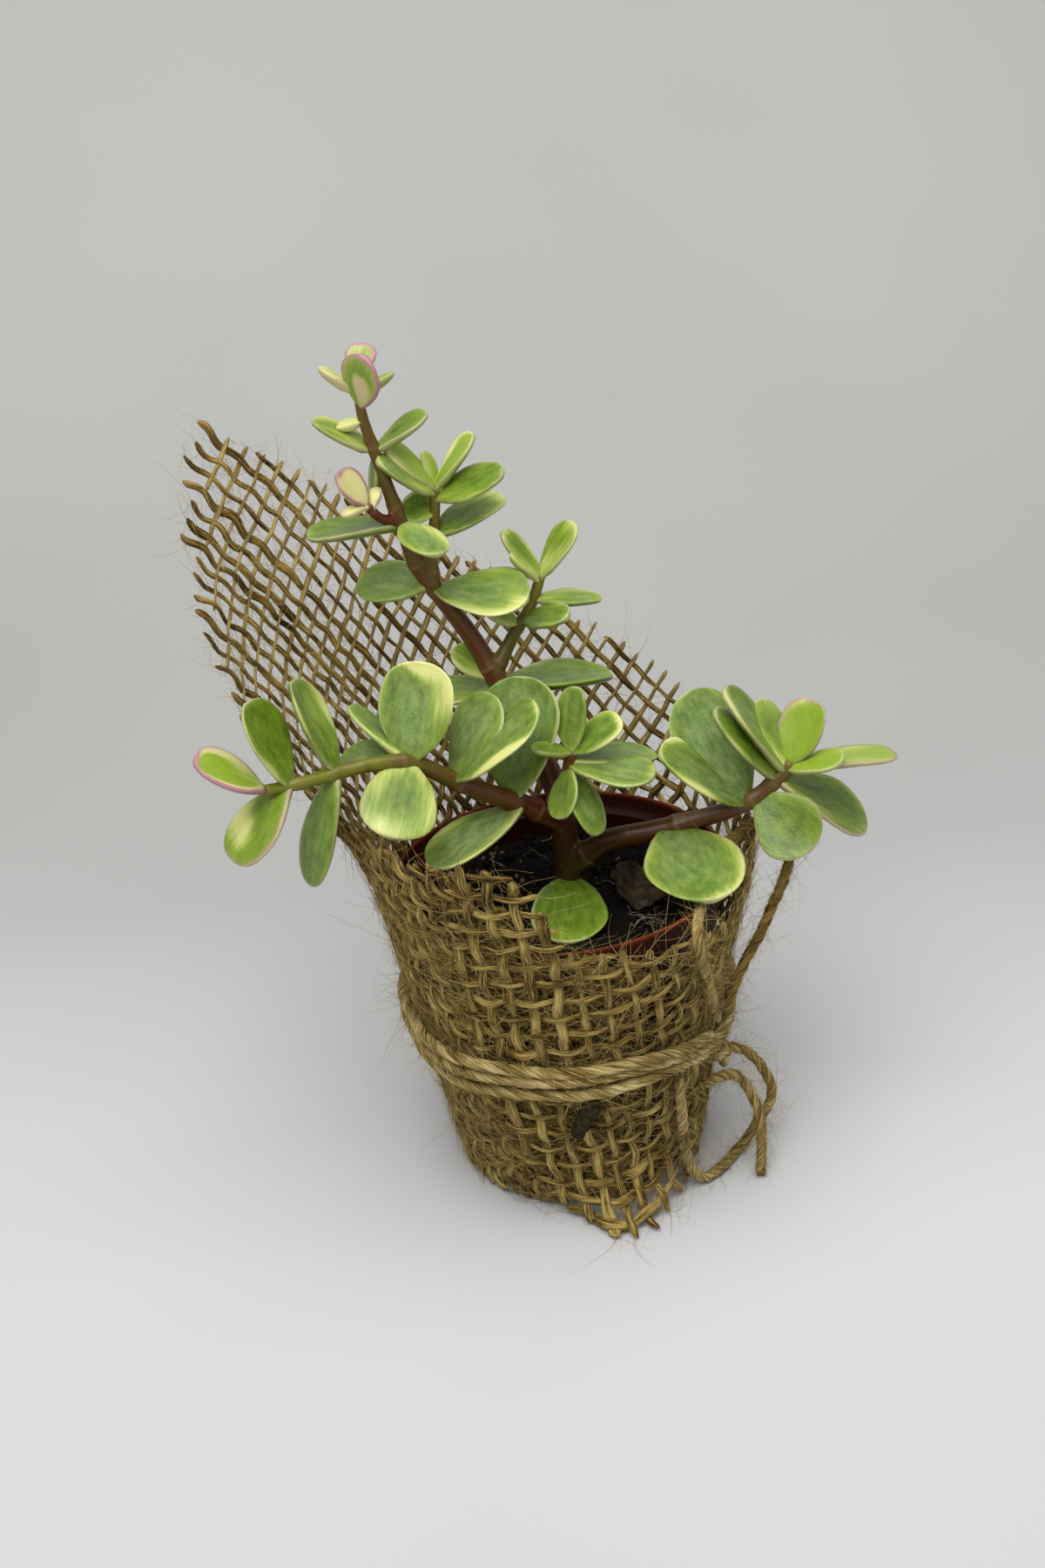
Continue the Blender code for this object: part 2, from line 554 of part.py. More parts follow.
def make_leafy_stem(name, stem, material, shoots=()):
    """One stem with its leaves and side shoots, joined into a single solid."""
    pieces = bpy.data.collections.new(f"{name}_pieces")
    bpy.context.scene.collection.children.link(pieces)
    route = smooth_route(stem["route"], 2)
    thing = add_object(name, tube_mesh(name, route, stem["radii"]), material)
    for number, shoot in enumerate((stem, *shoots)):
        own_route = smooth_route(shoot["route"], 2)
        if number:
            add_object(f"{name}_shoot_{number}", tube_mesh(name, own_route, shoot["radii"]),
                       collection=pieces)
        for i, (share, *leaf) in enumerate(shoot["leaves"]):
            label = f"{name}_leaf_{number}_{i}"
            add_object(label, leaf_mesh(label, place_on(own_route, share), *leaf), collection=pieces)
    join = thing.modifiers.new("join", "BOOLEAN")
    join.operation = "UNION"
    join.operand_type = "COLLECTION"
    join.collection = pieces
    if name != "stem_tall":
        trunk = STEMS["stem_tall"]
        wide = tube_mesh("socket", smooth_route(trunk["route"], 2), [r + GAP for r in trunk["radii"]])
        cut_with(thing, add_object(f"{name}_socket", wide, collection=CUTTERS))
    apply_modifiers(thing)
    for piece in list(pieces.objects):
        bpy.data.objects.remove(piece, do_unlink=True)
    bpy.data.collections.remove(pieces)


def make_plant():
    flesh = make_material("succulent_green", (0.20, 0.36, 0.07), 0.4)
    for name, stem in STEMS.items():
        make_leafy_stem(name, stem, flesh, SIDE_SHOOTS if name == "stem_tall" else ())
    for socket in [thing for thing in CUTTERS.objects if thing.name.endswith("_socket")]:
        bpy.data.objects.remove(socket, do_unlink=True)


make_pot()
make_soil()
make_burlap()
make_twine()
make_plant()
for thing in PLANT.objects:
    if thing.type == "MESH" and thing.name != "burlap_wrap":
        soften(thing)
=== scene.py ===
import math

import bmesh
import bpy
import numpy as np
from mathutils import Matrix, Vector, noise


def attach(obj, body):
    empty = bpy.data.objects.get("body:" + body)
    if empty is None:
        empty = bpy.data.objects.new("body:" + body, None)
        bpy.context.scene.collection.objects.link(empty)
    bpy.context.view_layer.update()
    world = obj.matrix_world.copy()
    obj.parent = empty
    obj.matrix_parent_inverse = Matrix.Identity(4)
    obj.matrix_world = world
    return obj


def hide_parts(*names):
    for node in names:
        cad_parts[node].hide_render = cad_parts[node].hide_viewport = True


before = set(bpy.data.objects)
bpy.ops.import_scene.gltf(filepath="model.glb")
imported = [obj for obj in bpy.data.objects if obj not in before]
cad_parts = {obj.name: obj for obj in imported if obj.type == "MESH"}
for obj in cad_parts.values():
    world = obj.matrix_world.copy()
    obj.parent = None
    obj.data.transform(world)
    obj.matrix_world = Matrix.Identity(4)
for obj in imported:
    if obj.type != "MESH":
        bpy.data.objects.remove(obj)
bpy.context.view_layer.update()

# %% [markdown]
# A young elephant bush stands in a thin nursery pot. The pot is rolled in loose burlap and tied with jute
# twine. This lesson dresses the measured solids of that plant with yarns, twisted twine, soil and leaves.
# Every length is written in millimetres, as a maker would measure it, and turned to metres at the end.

MM = 0.001
SEED = 21
chance = np.random.default_rng(SEED)
noise.seed_set(SEED)  # without a seed of its own, noise_vector differs from run to run

# %% [markdown]
# The camera comes first, because it settles how large each detail must be to show. The pot's rim is a
# known circle, so its ellipse in the picture gives the camera's height, tilt and distance.

# %% Camera
CAMERA_PLACE = (-4.63, -275.74, 206.10)
PITCH = math.radians(25.97)
ROLL = math.radians(-5.8)
lens = bpy.data.cameras.new("camera")
lens.lens = 42
lens.sensor_width = 36
camera = bpy.data.objects.new("camera", lens)
forward = Vector((0, math.cos(PITCH), -math.sin(PITCH)))
level = Vector((1, 0, 0))
above = level.cross(forward)
right = math.cos(ROLL) * level + math.sin(ROLL) * above
upward = -math.sin(ROLL) * level + math.cos(ROLL) * above
turned_camera = Matrix((right, upward, -forward)).transposed().to_4x4()
camera.matrix_world = Matrix.Translation(Vector(CAMERA_PLACE) * MM) @ turned_camera
bpy.context.collection.objects.link(camera)
bpy.context.scene.camera = camera
bpy.context.scene.view_settings.view_transform = "Standard"
print("camera is", round(camera.location.length / MM), "mm from the foot of the pot")

# %% [markdown]
# Many pieces here are strands: yarns, plies of twine, hairs, roots and stems. Each could be a curve with
# a bevel, but a curve can't hold a value for each point. So one helper sweeps a ring of points along a
# route, and another gathers the strands into one mesh with those values kept on it.

# %% Helpers for routes
def unit(vectors):
    return vectors / np.maximum(np.linalg.norm(vectors, axis=-1, keepdims=True), 1e-9)


def run_lengths(route):
    return np.concatenate([[0.0], np.cumsum(np.linalg.norm(np.diff(route, axis=0), axis=1))])


def smooth_route(points, per_span):
    """A Catmull-Rom curve through the points."""
    points = np.array(points, float)
    ends = np.vstack([2 * points[0] - points[1], points, 2 * points[-1] - points[-2]])
    route = []
    for a, b, c, d in zip(ends, ends[1:], ends[2:], ends[3:]):
        for t in np.arange(per_span) / per_span:
            route.append(0.5 * (2 * b + (c - a) * t + (2 * a - 5 * b + 4 * c - d) * t ** 2
                                + (3 * b - a - 3 * c + d) * t ** 3))
    return np.array([*route, points[-1]])


def even_route(route, step):
    """The same route with its points a set distance apart."""
    lengths = run_lengths(route)
    places = np.linspace(0, lengths[-1], max(4, round(lengths[-1] / step) + 1))
    return np.column_stack([np.interp(places, lengths, route[:, k]) for k in range(3)])


# %% A bundle of strands
class Bundle:
    """Strands gathered into one mesh, with named values kept for each point."""

    def __init__(self):
        self.places = []
        self.faces = []
        self.marks = {}
        self.count = 0

    def add(self, places, faces, **marks):
        self.faces += [[corner + self.count for corner in face] for face in faces]
        self.places.append(places)
        for name, values in marks.items():
            self.marks.setdefault(name, []).append(values)
        self.count += len(places)

    def piece(self, name, material, finish, *stands_for):
        """One object on the plant's only body, which hides the solids that it stands for. The finish is not
        used.
        """
        mesh = bpy.data.meshes.new(name)
        places = np.vstack(self.places)
        places[:, 2] = np.maximum(places[:, 2], 0)  # nothing sinks into the table
        mesh.from_pydata((places * MM).tolist(), [], self.faces)
        for mark, values in self.marks.items():
            kept = mesh.attributes.new(mark, "FLOAT_VECTOR", "POINT")
            kept.data.foreach_set("vector", np.vstack(values).astype(np.float32).ravel())
        mesh.shade_smooth()
        mesh.materials.append(material)
        thing = bpy.data.objects.new(name, mesh)
        bpy.context.collection.objects.link(thing)
        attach(thing, "root")
        if stands_for:
            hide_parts(*stands_for)
        print(name, "has", sum(len(face) - 2 for face in self.faces), "triangles")
        return thing


# %% A ring swept along a route
def add_strand(bundle, route, wide, thick, facing, sides, mark, **more):
    """One closed strand: wide and thick are half its size, and facing is the way its flat side looks."""
    ahead = unit(np.gradient(route, axis=0))
    across = unit(np.cross(ahead, facing))
    lift = np.cross(across, ahead)
    turn = np.arange(sides) * math.tau / sides
    ring = (np.cos(turn)[None, :, None] * across[:, None] * wide[:, None, None]
            + np.sin(turn)[None, :, None] * lift[:, None] * thick[:, None, None])
    rows = np.arange(len(route) - 1)[:, None] * sides
    here = rows + np.arange(sides)
    beside = rows + (np.arange(sides) + 1) % sides
    faces = np.stack([here, here + sides, beside + sides, beside], -1).reshape(-1, 4).tolist()
    last = (len(route) - 1) * sides
    faces.append(list(range(sides)))
    faces.append(list(range(last, last + sides))[::-1])
    lay = np.column_stack([np.repeat(run_lengths(route), sides), np.tile(turn * wide.mean(), len(route)),
                           np.full(len(route) * sides, mark)])
    values = {name: np.repeat(value, sides, axis=0) for name, value in more.items()}
    bundle.add((route[:, None] + ring).reshape(-1, 3), faces, lay=lay, **values)


# %% [markdown]
# Colours are written as the hex values that a painter would pick on a screen. A shader mixes light, so
# one function turns them to linear values. One more function adds a node with its settings and links.

# %% Helpers for materials
def linear(code):
    parts = np.array([int(code[i:i + 2], 16) / 255 for i in (1, 3, 5)])
    curve = np.where(parts <= 0.04045, parts / 12.92, ((parts + 0.055) / 1.055) ** 2.4)
    return (*curve.tolist(), 1.0)


def add_node(material, kind, values):
    """Adds a node. A value sets a property or an input, or is an earlier node or output to link from."""
    tree = material.node_tree
    node = tree.nodes.new("ShaderNode" + kind)
    for name, value in values.items():
        if name == "stops":
            for number, (place, code) in enumerate(value):
                elements = node.color_ramp.elements
                stop = elements[number] if number < 2 else elements.new(place)
                stop.position = place
                stop.color = linear(code)
        elif isinstance(value, (bpy.types.Node, bpy.types.NodeSocket)):
            tree.links.new(first_output(value), node.inputs[name])
        elif isinstance(name, str) and hasattr(node, name):
            setattr(node, name, value)
        else:
            node.inputs[name].default_value = linear(value) if isinstance(value, str) else value
    return node


def first_output(source):
    return source.outputs[0] if isinstance(source, bpy.types.Node) else source


def new_material(name, **settings):
    """A material whose even values are set on the shader itself, and its shader to join nodes to."""
    material = bpy.data.materials.new(name)
    material.use_nodes = True
    shader = material.node_tree.nodes["Principled BSDF"]
    for words, value in settings.items():
        shader.inputs[words.replace("_", " ")].default_value = value
    return material, shader


def join(material, shader, **sources):
    for words, source in sources.items():
        material.node_tree.links.new(first_output(source), shader.inputs[words.replace("_", " ")])


# %% [markdown]
# Jute is a bast fibre, spun dry into a hairy single yarn. Its surface is dull, with straw-coloured
# fibres that run along the yarn and catch the light, over browner ones. The noise is stretched along
# the strand: streaks about 4 mm long and 0.3 mm wide. Real fibres are 0.02 mm, too fine to show.

# %% Jute
def jute_fibre(name, dark, middle, light, twist):
    material, shader = new_material(name, Roughness=0.82, Sheen_Weight=0.05, Sheen_Roughness=0.5,
                                    Specular_IOR_Level=0.12)
    lay = add_node(material, "Attribute", {"attribute_name": "lay"}).outputs["Vector"]
    streaks = add_node(material, "Mapping", {"Scale": (0.24, 3.7, 11.0), "Rotation": (0, 0, twist),
                                             "Vector": lay})
    fibres = add_node(material, "TexNoise", {"Scale": 1.0, "Detail": 3.0, "Roughness": 0.65,
                                             "Vector": streaks})
    patches = add_node(material, "Mapping", {"Scale": (0.12, 0.0, 3.7), "Vector": lay})
    slubs = add_node(material, "TexNoise", {"Scale": 1.0, "Detail": 2.0, "Vector": patches})
    both = add_node(material, "Math", {"operation": "MULTIPLY_ADD", 0: slubs, 1: 0.6, 2: fibres})
    colour = add_node(material, "ValToRGB", {"stops": ((0.62, dark), (0.94, light), (0.77, middle)),
                                             "Fac": both})
    # Each point keeps how much darker and how much paler its fibres are drawn: painted shade and painted
    # light, with some random tone.
    aged = add_node(material, "Attribute", {"attribute_name": "aged"}).outputs["Vector"]
    darkening, painted_light, _ = add_node(material, "SeparateXYZ", {0: aged}).outputs
    paler = add_node(material, "Mix", {"data_type": "RGBA", 0: painted_light, 6: colour, 7: "#BDA468"}).outputs[2]
    browner = add_node(material, "Mix", {"data_type": "RGBA", "blend_type": "MULTIPLY", 0: darkening,
                                         6: paler, 7: "#B29A5C"}).outputs[2]
    bump = add_node(material, "Bump", {"Strength": 0.9, "Distance": 0.00035, "Height": fibres})
    join(material, shader, Base_Color=browner, Normal=bump)
    return material


TWINE_JUTE = jute_fibre("jute_twine", "#483412", "#8F7940", "#D3C188", 0.5)
YARN_JUTE = jute_fibre("jute_yarn", "#2E1D04", "#715920", "#CBB46C", 0.25)
HAIR_JUTE = jute_fibre("jute_hair", "#664E1A", "#9E8743", "#D8C484", 0.0)

# %% [markdown]
# The twine is three plies twisted together, 2 mm thick. It goes three times round the waist of the pot
# and ends in a bow. Two loops and one end hang free, so each is its own piece, and its length is printed.
# Each ply is a strand that winds round the route, because a bump alone leaves a smooth outline.

# %% Twine routes
TWINE_RADIUS = 1.0
BOW_UPPER = (
    (26.1, -14.6, 32.1), (26.8, -13.3, 34), (27.9, -11.9, 35.7), (29, -10.7, 37.3),
    (30.9, -9, 39.7), (33.2, -7.8, 42.8), (35.4, -7, 47.3), (37.6, -6.5, 51.9), (39.2, -5.8, 57),
    (38.9, -4.3, 60.6), (36.6, -3.3, 62.3), (33.4, -3.4, 61.9), (30, -4.8, 60.4), (26.4, -8.2, 58.1),
    (23.8, -13.8, 56.9), (22.2, -19.3, 56.5), (21.2, -23.6, 56.5), (20.5, -27.2, 56.7),
    (20.4, -29.5, 55.2), (20.7, -28.9, 52.8), (21.4, -26.9, 49.2), (22.3, -23.6, 43.7),
    (23.1, -20.8, 38), (23.8, -18.2, 33.6))
BOW_LOWER = (
    (25.9, -11.6, 22.6), (27.2, -9.8, 21.6), (28.8, -8.2, 20), (30.5, -7.4, 18.2), (32.2, -8, 16),
    (33.9, -9, 11.9), (33.3, -9.7, 8.9), (31, -10.4, 5.6), (28.6, -11.3, 2.3), (26.6, -12.8, 1.25),
    (24.6, -15.4, 1.15), (22.3, -17.8, 1.15), (19.8, -19.3, 1.4), (17.8, -20.2, 4.4),
    (17, -21.2, 9.6), (16.7, -22.6, 15), (16.5, -24, 21.5), (16.4, -25, 26.4))
TWINE_END = (
    (20.7, -20, 21.8), (22.8, -17.7, 20.9), (24.9, -15.6, 20), (27, -13.9, 18.6),
    (28.9, -13.1, 15.6), (30.3, -13.4, 12), (31, -14.3, 8.6), (30.9, -15.6, 5),
    (30.4, -17.6, 2), (30, -19.4, 1.15))


# %% Three twisted plies
def add_plied(bundle, route, radius, lay_length, mark, painted_shades=(0.0, 0.0)):
    """Three plies twisted round the route, with painted shade darkening its two halves more or less."""
    route = even_route(route, 0.6)
    lengths = run_lengths(route)
    ahead = unit(np.gradient(route, axis=0))
    side = np.zeros_like(route)
    side[0] = unit(np.cross(ahead[0], (0.3, 0.2, 1.0)))
    for i in range(1, len(route)):
        side[i] = unit(side[i - 1] - ahead[i] * (side[i - 1] @ ahead[i]))
    other = np.cross(ahead, side)
    darkening = np.interp(lengths / lengths[-1], (0.45, 0.6), painted_shades)
    for ply in range(3):
        turn = math.tau * (lengths / lay_length + 0.09 * np.sin(lengths * 0.31 + mark) + ply / 3)
        out = side * np.cos(turn)[:, None] + other * np.sin(turn)[:, None]
        slub = 1 + 0.10 * np.sin(lengths * 0.9 + 2.1 * ply) + 0.06 * np.sin(lengths * 2.3 + ply)
        add_strand(bundle, route + out * 0.43 * radius, 0.60 * radius * slub, 0.52 * radius * slub,
                   out, sides=7, mark=mark + 0.37 * ply, aged=np.outer(darkening, (1, 0, 0)))
    return route


# %% Bow and loose end
free_twine = {}
# Painted shade darkens the bow's loops and the loose end, each half by its own amount.
for name, node, points, far_end, painted_shades in (
        ("bow_loop_upper", "twine_bow_upper", BOW_UPPER, "object", (0.8, 0.35)),
        ("bow_loop_lower", "twine_bow_lower", BOW_LOWER, "object", (0.5, 0.1)),
        ("loose_end", "twine_end", TWINE_END, "bare", (0.5, 0.5))):
    bundle = Bundle()
    route = add_plied(bundle, smooth_route(points, 8), TWINE_RADIUS, lay_length=8.5,
                      mark=1.7 * len(free_twine), painted_shades=painted_shades)
    piece = bundle.piece(name, TWINE_JUTE, "twine", node)
    length = run_lengths(route)[-1] * MM
    free_twine[name] = route
    print(name, "is", round(length / MM), "mm long")

# %% [markdown]
# The burlap is one sheet, cut with a slanted corner and rolled round the pot as a cone. Its outer end
# lies over the inner one at the front, and its free corner stands up at the back and leans outward.
# The cut is drawn flat and then rolled, so the yarns stay straight on the cloth and run true round it.

# %% Measures of the rolled cloth
CLOTH_FOOT = 1.2
CONE_FOOT = 21.4
CONE_SPREAD = 0.170
SQUARE_BEARING = -25.0
LEAN_START = 57.0
TOP_EDGE = (
    (-27, 74), (-17, 74), (-13, 72.3), (-8.7, 70), (-6.9, 67.6), (-5.5, 63.7), (-3.4, 60), (0.4, 58.6),
    (5, 57.3), (13, 56.3), (33, 55.2), (38, 54.2), (50, 54.2), (62, 56.2), (72, 57.6), (80, 58.8),
    (92, 60), (105, 64), (120, 70), (138, 75), (155, 80), (180, 90), (200, 100), (215, 109), (228, 118),
    (240, 129))
FRAYED_EDGE = ((240, 129), (249, 117), (257, 108), (266, 98), (273, 87))
FOLDED_EDGE = (
    (278, 80), (284, 74), (291, 71.5), (300, 71.5), (315, 71.5), (328, 71.8), (338, 68), (350, 58),
    (383, 52))
OUTER_CUT = (
    (11, CLOTH_FOOT), (-4, 1.4), (-11, 3.4), (-20, 10), (-24.5, 15), (-29, 20.5), (-31, 26.5),
    (-35, 45), (-31, 60))
LEAN = (
    (100, 0), (138, 0.09), (155, 0.09), (168, 0.12), (180, 0.17), (228, 0.17), (240, 0.22), (255, 0.30),
    (265, 0.35), (274, 0.40), (284, 0.26), (291, 0.06), (300, 0))
CORNER_BEARING = 11.0
CORNER_REACH = 9.8
CORNER_SPANS = (13.0, 27.0)
CORNER_HEIGHT = 11.0
LOOSE = 1.9
LOOSE_START = 38.0
SLOPE = math.atan(CONE_SPREAD)
APEX_DEPTH = CONE_FOOT / CONE_SPREAD


# %% Rolling the cloth
def by_bearing(table, bearing):
    return np.interp(bearing, *zip(*table))


def flat_place(bearing, height):
    """Where a point of the wrap lies on the flat, unrolled cloth."""
    reach = (height + APEX_DEPTH) / math.cos(SLOPE)
    angle = np.radians(bearing - SQUARE_BEARING) * math.sin(SLOPE)
    return np.column_stack([reach * np.sin(angle), reach * np.cos(angle)])


def rolled_place(u, v):
    """The bearing and height that a point of the flat cloth takes when it is rolled round the pot."""
    bearing = SQUARE_BEARING + np.degrees(np.arctan2(u, v)) / math.sin(SLOPE)
    return bearing, np.hypot(u, v) * math.cos(SLOPE) - APEX_DEPTH


def layer_offset(bearing):
    """The outer end lies over the inner one across the front, and sinks onto the pot at the right."""
    return 2.0 * np.interp(bearing, (26, 75), (1, 0))


def wrap_radius(bearing, height):
    rise = np.maximum(0.0, height - LEAN_START)
    lean = by_bearing(LEAN, bearing) * rise ** 2 / (rise + 5)
    at_side = np.where((bearing > 0) & (bearing < 180), np.sin(np.radians(bearing)), 0)
    loose = LOOSE * at_side * np.clip((height - LOOSE_START) / 17, 0, 1)
    away = (bearing - CORNER_BEARING) / np.where(bearing > CORNER_BEARING, *CORNER_SPANS[::-1])
    corner = CORNER_REACH * np.exp(-away ** 2) * np.maximum(0, 1 - height / CORNER_HEIGHT) ** 2
    return CONE_FOOT + CONE_SPREAD * height + layer_offset(bearing) + lean + loose + corner


def around(bearing, radius, height):
    angle = np.radians(bearing)
    return np.stack([radius * np.sin(angle), -radius * np.cos(angle), height + 0 * angle], -1)


def on_wrap(u, v, lift):
    """Places on the rolled cloth, lifted off its middle, and the way that its outer side looks."""
    def at(u, v):
        bearing, height = rolled_place(u, v)
        under = np.maximum(0, 0.7 - height)  # what would reach the table spreads outward on it
        return around(bearing, wrap_radius(bearing, height) + under, np.maximum(height, 0.7))
    here = at(u, v)
    outward = unit(np.cross(at(u + 0.2, v) - here, at(u, v + 0.2) - here))
    return here + outward * lift[:, None], outward


# %% Cutting the cloth
foot_bearings = np.arange(FOLDED_EDGE[-1][0], OUTER_CUT[0][0], -5.0)
outline = np.vstack([
    flat_place(bearings, by_bearing(TOP_EDGE, bearings)) for bearings in [np.arange(-27, 240, 4.0)]
] + [flat_place(*np.array(edge, float).T) for edge in (FRAYED_EDGE, FOLDED_EDGE)]
    + [flat_place(foot_bearings, np.full(len(foot_bearings), CLOTH_FOOT)),
       flat_place(*np.array(OUTER_CUT, float).T)])
beyond = np.roll(outline, -1, axis=0)

# %% [markdown]
# Loose burlap is a plain weave: each yarn goes over one and under the next. The yarns here are 3.6 mm
# apart and about 1.2 mm wide, spun unevenly, so each wanders and has thick and thin places. They are
# real strands, because the light must come through the gaps and the pot must show behind them.

# %% Yarns on the flat cloth
WEAVE = 3.6
CRIMP = 0.38
PULLED_FROM = 85.0
BAND = 125.0
CORNER_TIP = flat_place(CORNER_BEARING, CLOTH_FOOT)[0]


def on_cloth(p, q):
    """Where two yarns cross on the flat cloth. The flap is pulled askew: there they slant and crowd."""
    far = np.maximum(0, p - PULLED_FROM)
    pulled = far ** 2 / (far + 25)
    share = far * (far + 50) / (far + 25) ** 2
    u = p - 0.24 * pulled
    v = 160 + (q - 1.8 * share * np.tanh((q - BAND) / 6) - 160) * (1 - 0.2 * share) + 0.36 * pulled
    x, y = u - CORNER_TIP[0], v - CORNER_TIP[1]
    drawn = 1 - 0.40 * np.exp(-(x ** 2 + y ** 2) / 14 ** 2)
    return CORNER_TIP[0] + x * drawn, CORNER_TIP[1] + y * drawn


def in_outline(points):
    x, y = points.T
    inside = np.zeros(len(points), bool)
    for (ax, ay), (bx, by) in zip(outline, beyond):
        slope = (bx - ax) / (by - ay if by != ay else 1e-9)
        inside ^= ((ay > y) != (by > y)) & (x < ax + slope * (y - ay))
    return inside


def wander(u, v, size, seed):
    """A smooth drift of the weave, the same for yarns that cross at a place."""
    return np.array([noise.noise_vector(Vector((a / size, b / size, seed))) for a, b in zip(u, v)])


def spare_end(u, v, along_v):
    """How far a yarn stands out past the cut: long where the edge is frayed, and short over the rim."""
    bearing, height = rolled_place(u, v)
    if not along_v and 236 < bearing < 276 and height > 84:
        return chance.uniform(3.0, 6.0)
    if height < 4:
        return chance.uniform(0.2, 1.5)
    if -2 < bearing < 75 and height > 50:
        return chance.uniform(0.0, 0.4)
    return chance.uniform(0.4, 1.8)


# %% Weaving the burlap
woven = Bundle()
yarn_places = []
yarn_outward = []
GRID_FROM = outline.min(0) - (4, 70)
GRID_TO = outline.max(0) + (32, 6)
for axis in (0, 1):
    first, last = (np.array((GRID_FROM, GRID_TO))[:, axis] / WEAVE).astype(int)
    run = np.arange(GRID_FROM[1 - axis], GRID_TO[1 - axis], 0.3)
    for number in range(first, last):
        at = np.full(len(run), number * WEAVE)
        line = np.column_stack(on_cloth(at, run) if axis == 0 else on_cloth(run, at))
        marks = np.flatnonzero(np.diff(np.concatenate([[0], in_outline(line).astype(int), [0]])))
        for start, stop in zip(marks[::2], marks[1::2]):
            if stop - start < 8:
                continue
            begin = run[start] - spare_end(*line[start], axis == 0)
            end = run[stop - 1] + spare_end(*line[stop - 1], axis == 0)
            s = np.linspace(begin, end, max(6, round((end - begin) / 0.85)))
            at = np.full(len(s), number * WEAVE)
            u, v = on_cloth(at, s) if axis == 0 else on_cloth(s, at)
            bearing, height = rolled_place(u, v)
            # free is 1 on the flap and 0 round the pot, and frayed is 1 at the flap's torn end
            free = np.clip((height - 58) / 12, 0, 1) * ((bearing > 95) & (bearing < 300))
            frayed = free * np.clip((bearing - 228) / 14, 0, 1) * (axis == 1)
            drift = wander(u, v, 14, 3.0)[:, :2] * 1.0 + wander(u, v, 4.0, 9.0 + axis)[:, :2] * 0.48
            drift *= 1 - 0.45 * free[:, None]
            drift[:, axis] += np.sin(s * math.pi / WEAVE + number) * (0.10 - 0.04 * free + 0.24 * frayed)
            # each yarn rises and dips as it crosses the others, less so where the flap hangs free
            over = 1 if axis == 0 else -1
            crimp = over * CRIMP * (1 - free * (0.50 if axis else 0.85))
            lift = crimp * np.cos(math.pi * (s / WEAVE + number))
            lift = lift + 0.35 * frayed * np.sin(s * 0.8 + number)
            places, outward = on_wrap(u + drift[:, 0], v + drift[:, 1], lift)
            # it is thick and thin along its length, finer on the flap and stouter by the corner
            slub = np.array([noise.noise(Vector((x / 7, number * 1.7, axis * 9.1))) for x in s])
            stout = chance.uniform(0.78, 1.20) * (1 + 0.50 * slub) * (0.88 if axis else 1.04)
            stout *= 1 - free * (0.16 if axis else 0.44)
            stout *= 1 + 0.24 * frayed
            by_corner = 0.28 * np.exp(-((bearing - CORNER_BEARING) / 22) ** 2)
            stout *= 1 + by_corner * np.clip(1 - height / 14, 0, 1)
            stout *= np.clip(np.minimum(s - begin, end - s) / 0.8, 0.45, 1)
            # painted shade darkens the inner layer and the flap's level yarns; painted light pales its
            # upright yarns
            under = np.clip((bearing - 318) / 8, 0, 1)
            aged = np.clip(0.15 + free * (0.45 if axis else -0.05) + 0.3 * slub + 0.55 * under, 0, 1)
            painted_light = free * (0.0 if axis else 0.4)
            add_strand(woven, places, 0.70 * stout, 0.40 * stout, outward, sides=6,
                       mark=number * 0.77 + axis * 31, aged=np.column_stack([aged, painted_light, 0 * aged]))
            yarn_places.append(places)
            yarn_outward.append(outward)
burlap = woven.piece("woven_burlap", YARN_JUTE, "burlap", "burlap_wrap")
yarn_places = np.vstack(yarn_places)
yarn_outward = np.vstack(yarn_outward)

# %% [markdown]
# Jute sheds fine stiff hairs that bridge the gaps and soften every edge. They are 0.07 to 0.1 mm thick
# here, two to three times the real ones, because finer ones vanish in the picture. Some stand off the
# cloth and some lie across its gaps, so they are two pieces.

# %% A brush of hairs
LONGEST_HAIR = 8.5
OVER_TABLE = 0.12


def add_hairs(bundle, starts, outward, reach, radius, lift):
    """Fine bent fibres that leave their starts sideways and stand a little off the surface."""
    count = len(starts)
    lie = unit(np.cross(outward, chance.normal(size=(count, 3))))
    across = np.cross(outward, lie)
    curl = across * chance.normal(0, 1.0, (count, 1))
    lift = lift * chance.uniform(0.1, 1.0, (count, 1))
    reach = np.minimum(reach, LONGEST_HAIR)[:, None]
    rings = []
    for share in (0.0, 0.35, 0.7, 1.0):
        middle = starts + reach * (lie * share + curl * share ** 2 + outward * lift * share ** 1.5)
        middle[:, 2] = np.maximum(middle[:, 2], OVER_TABLE)
        thin = radius * (1.1 - 0.6 * share)
        rings.append(np.stack([middle + thin * (np.cos(turn) * across + np.sin(turn) * outward)
                               for turn in (0.5, 2.6, 4.7)], 1))
    places = np.stack(rings, 1).reshape(-1, 3)
    base = np.arange(count)[:, None] * 12
    faces = []
    for row in (0, 3, 6):
        for a, b in ((0, 1), (1, 2), (2, 0)):
            faces += (base + np.array([row + a, row + b, row + 3 + b, row + 3 + a])).tolist()
    faces += (base + np.array([2, 1, 0])).tolist() + (base + np.array([9, 10, 11])).tolist()
    lay = np.column_stack([np.tile(np.repeat((0.0, 1.5, 3.0, 4.5), 3), count), np.zeros(count * 12),
                           np.repeat(chance.uniform(0, 9, count), 12)])
    bundle.add(places, faces, lay=lay)


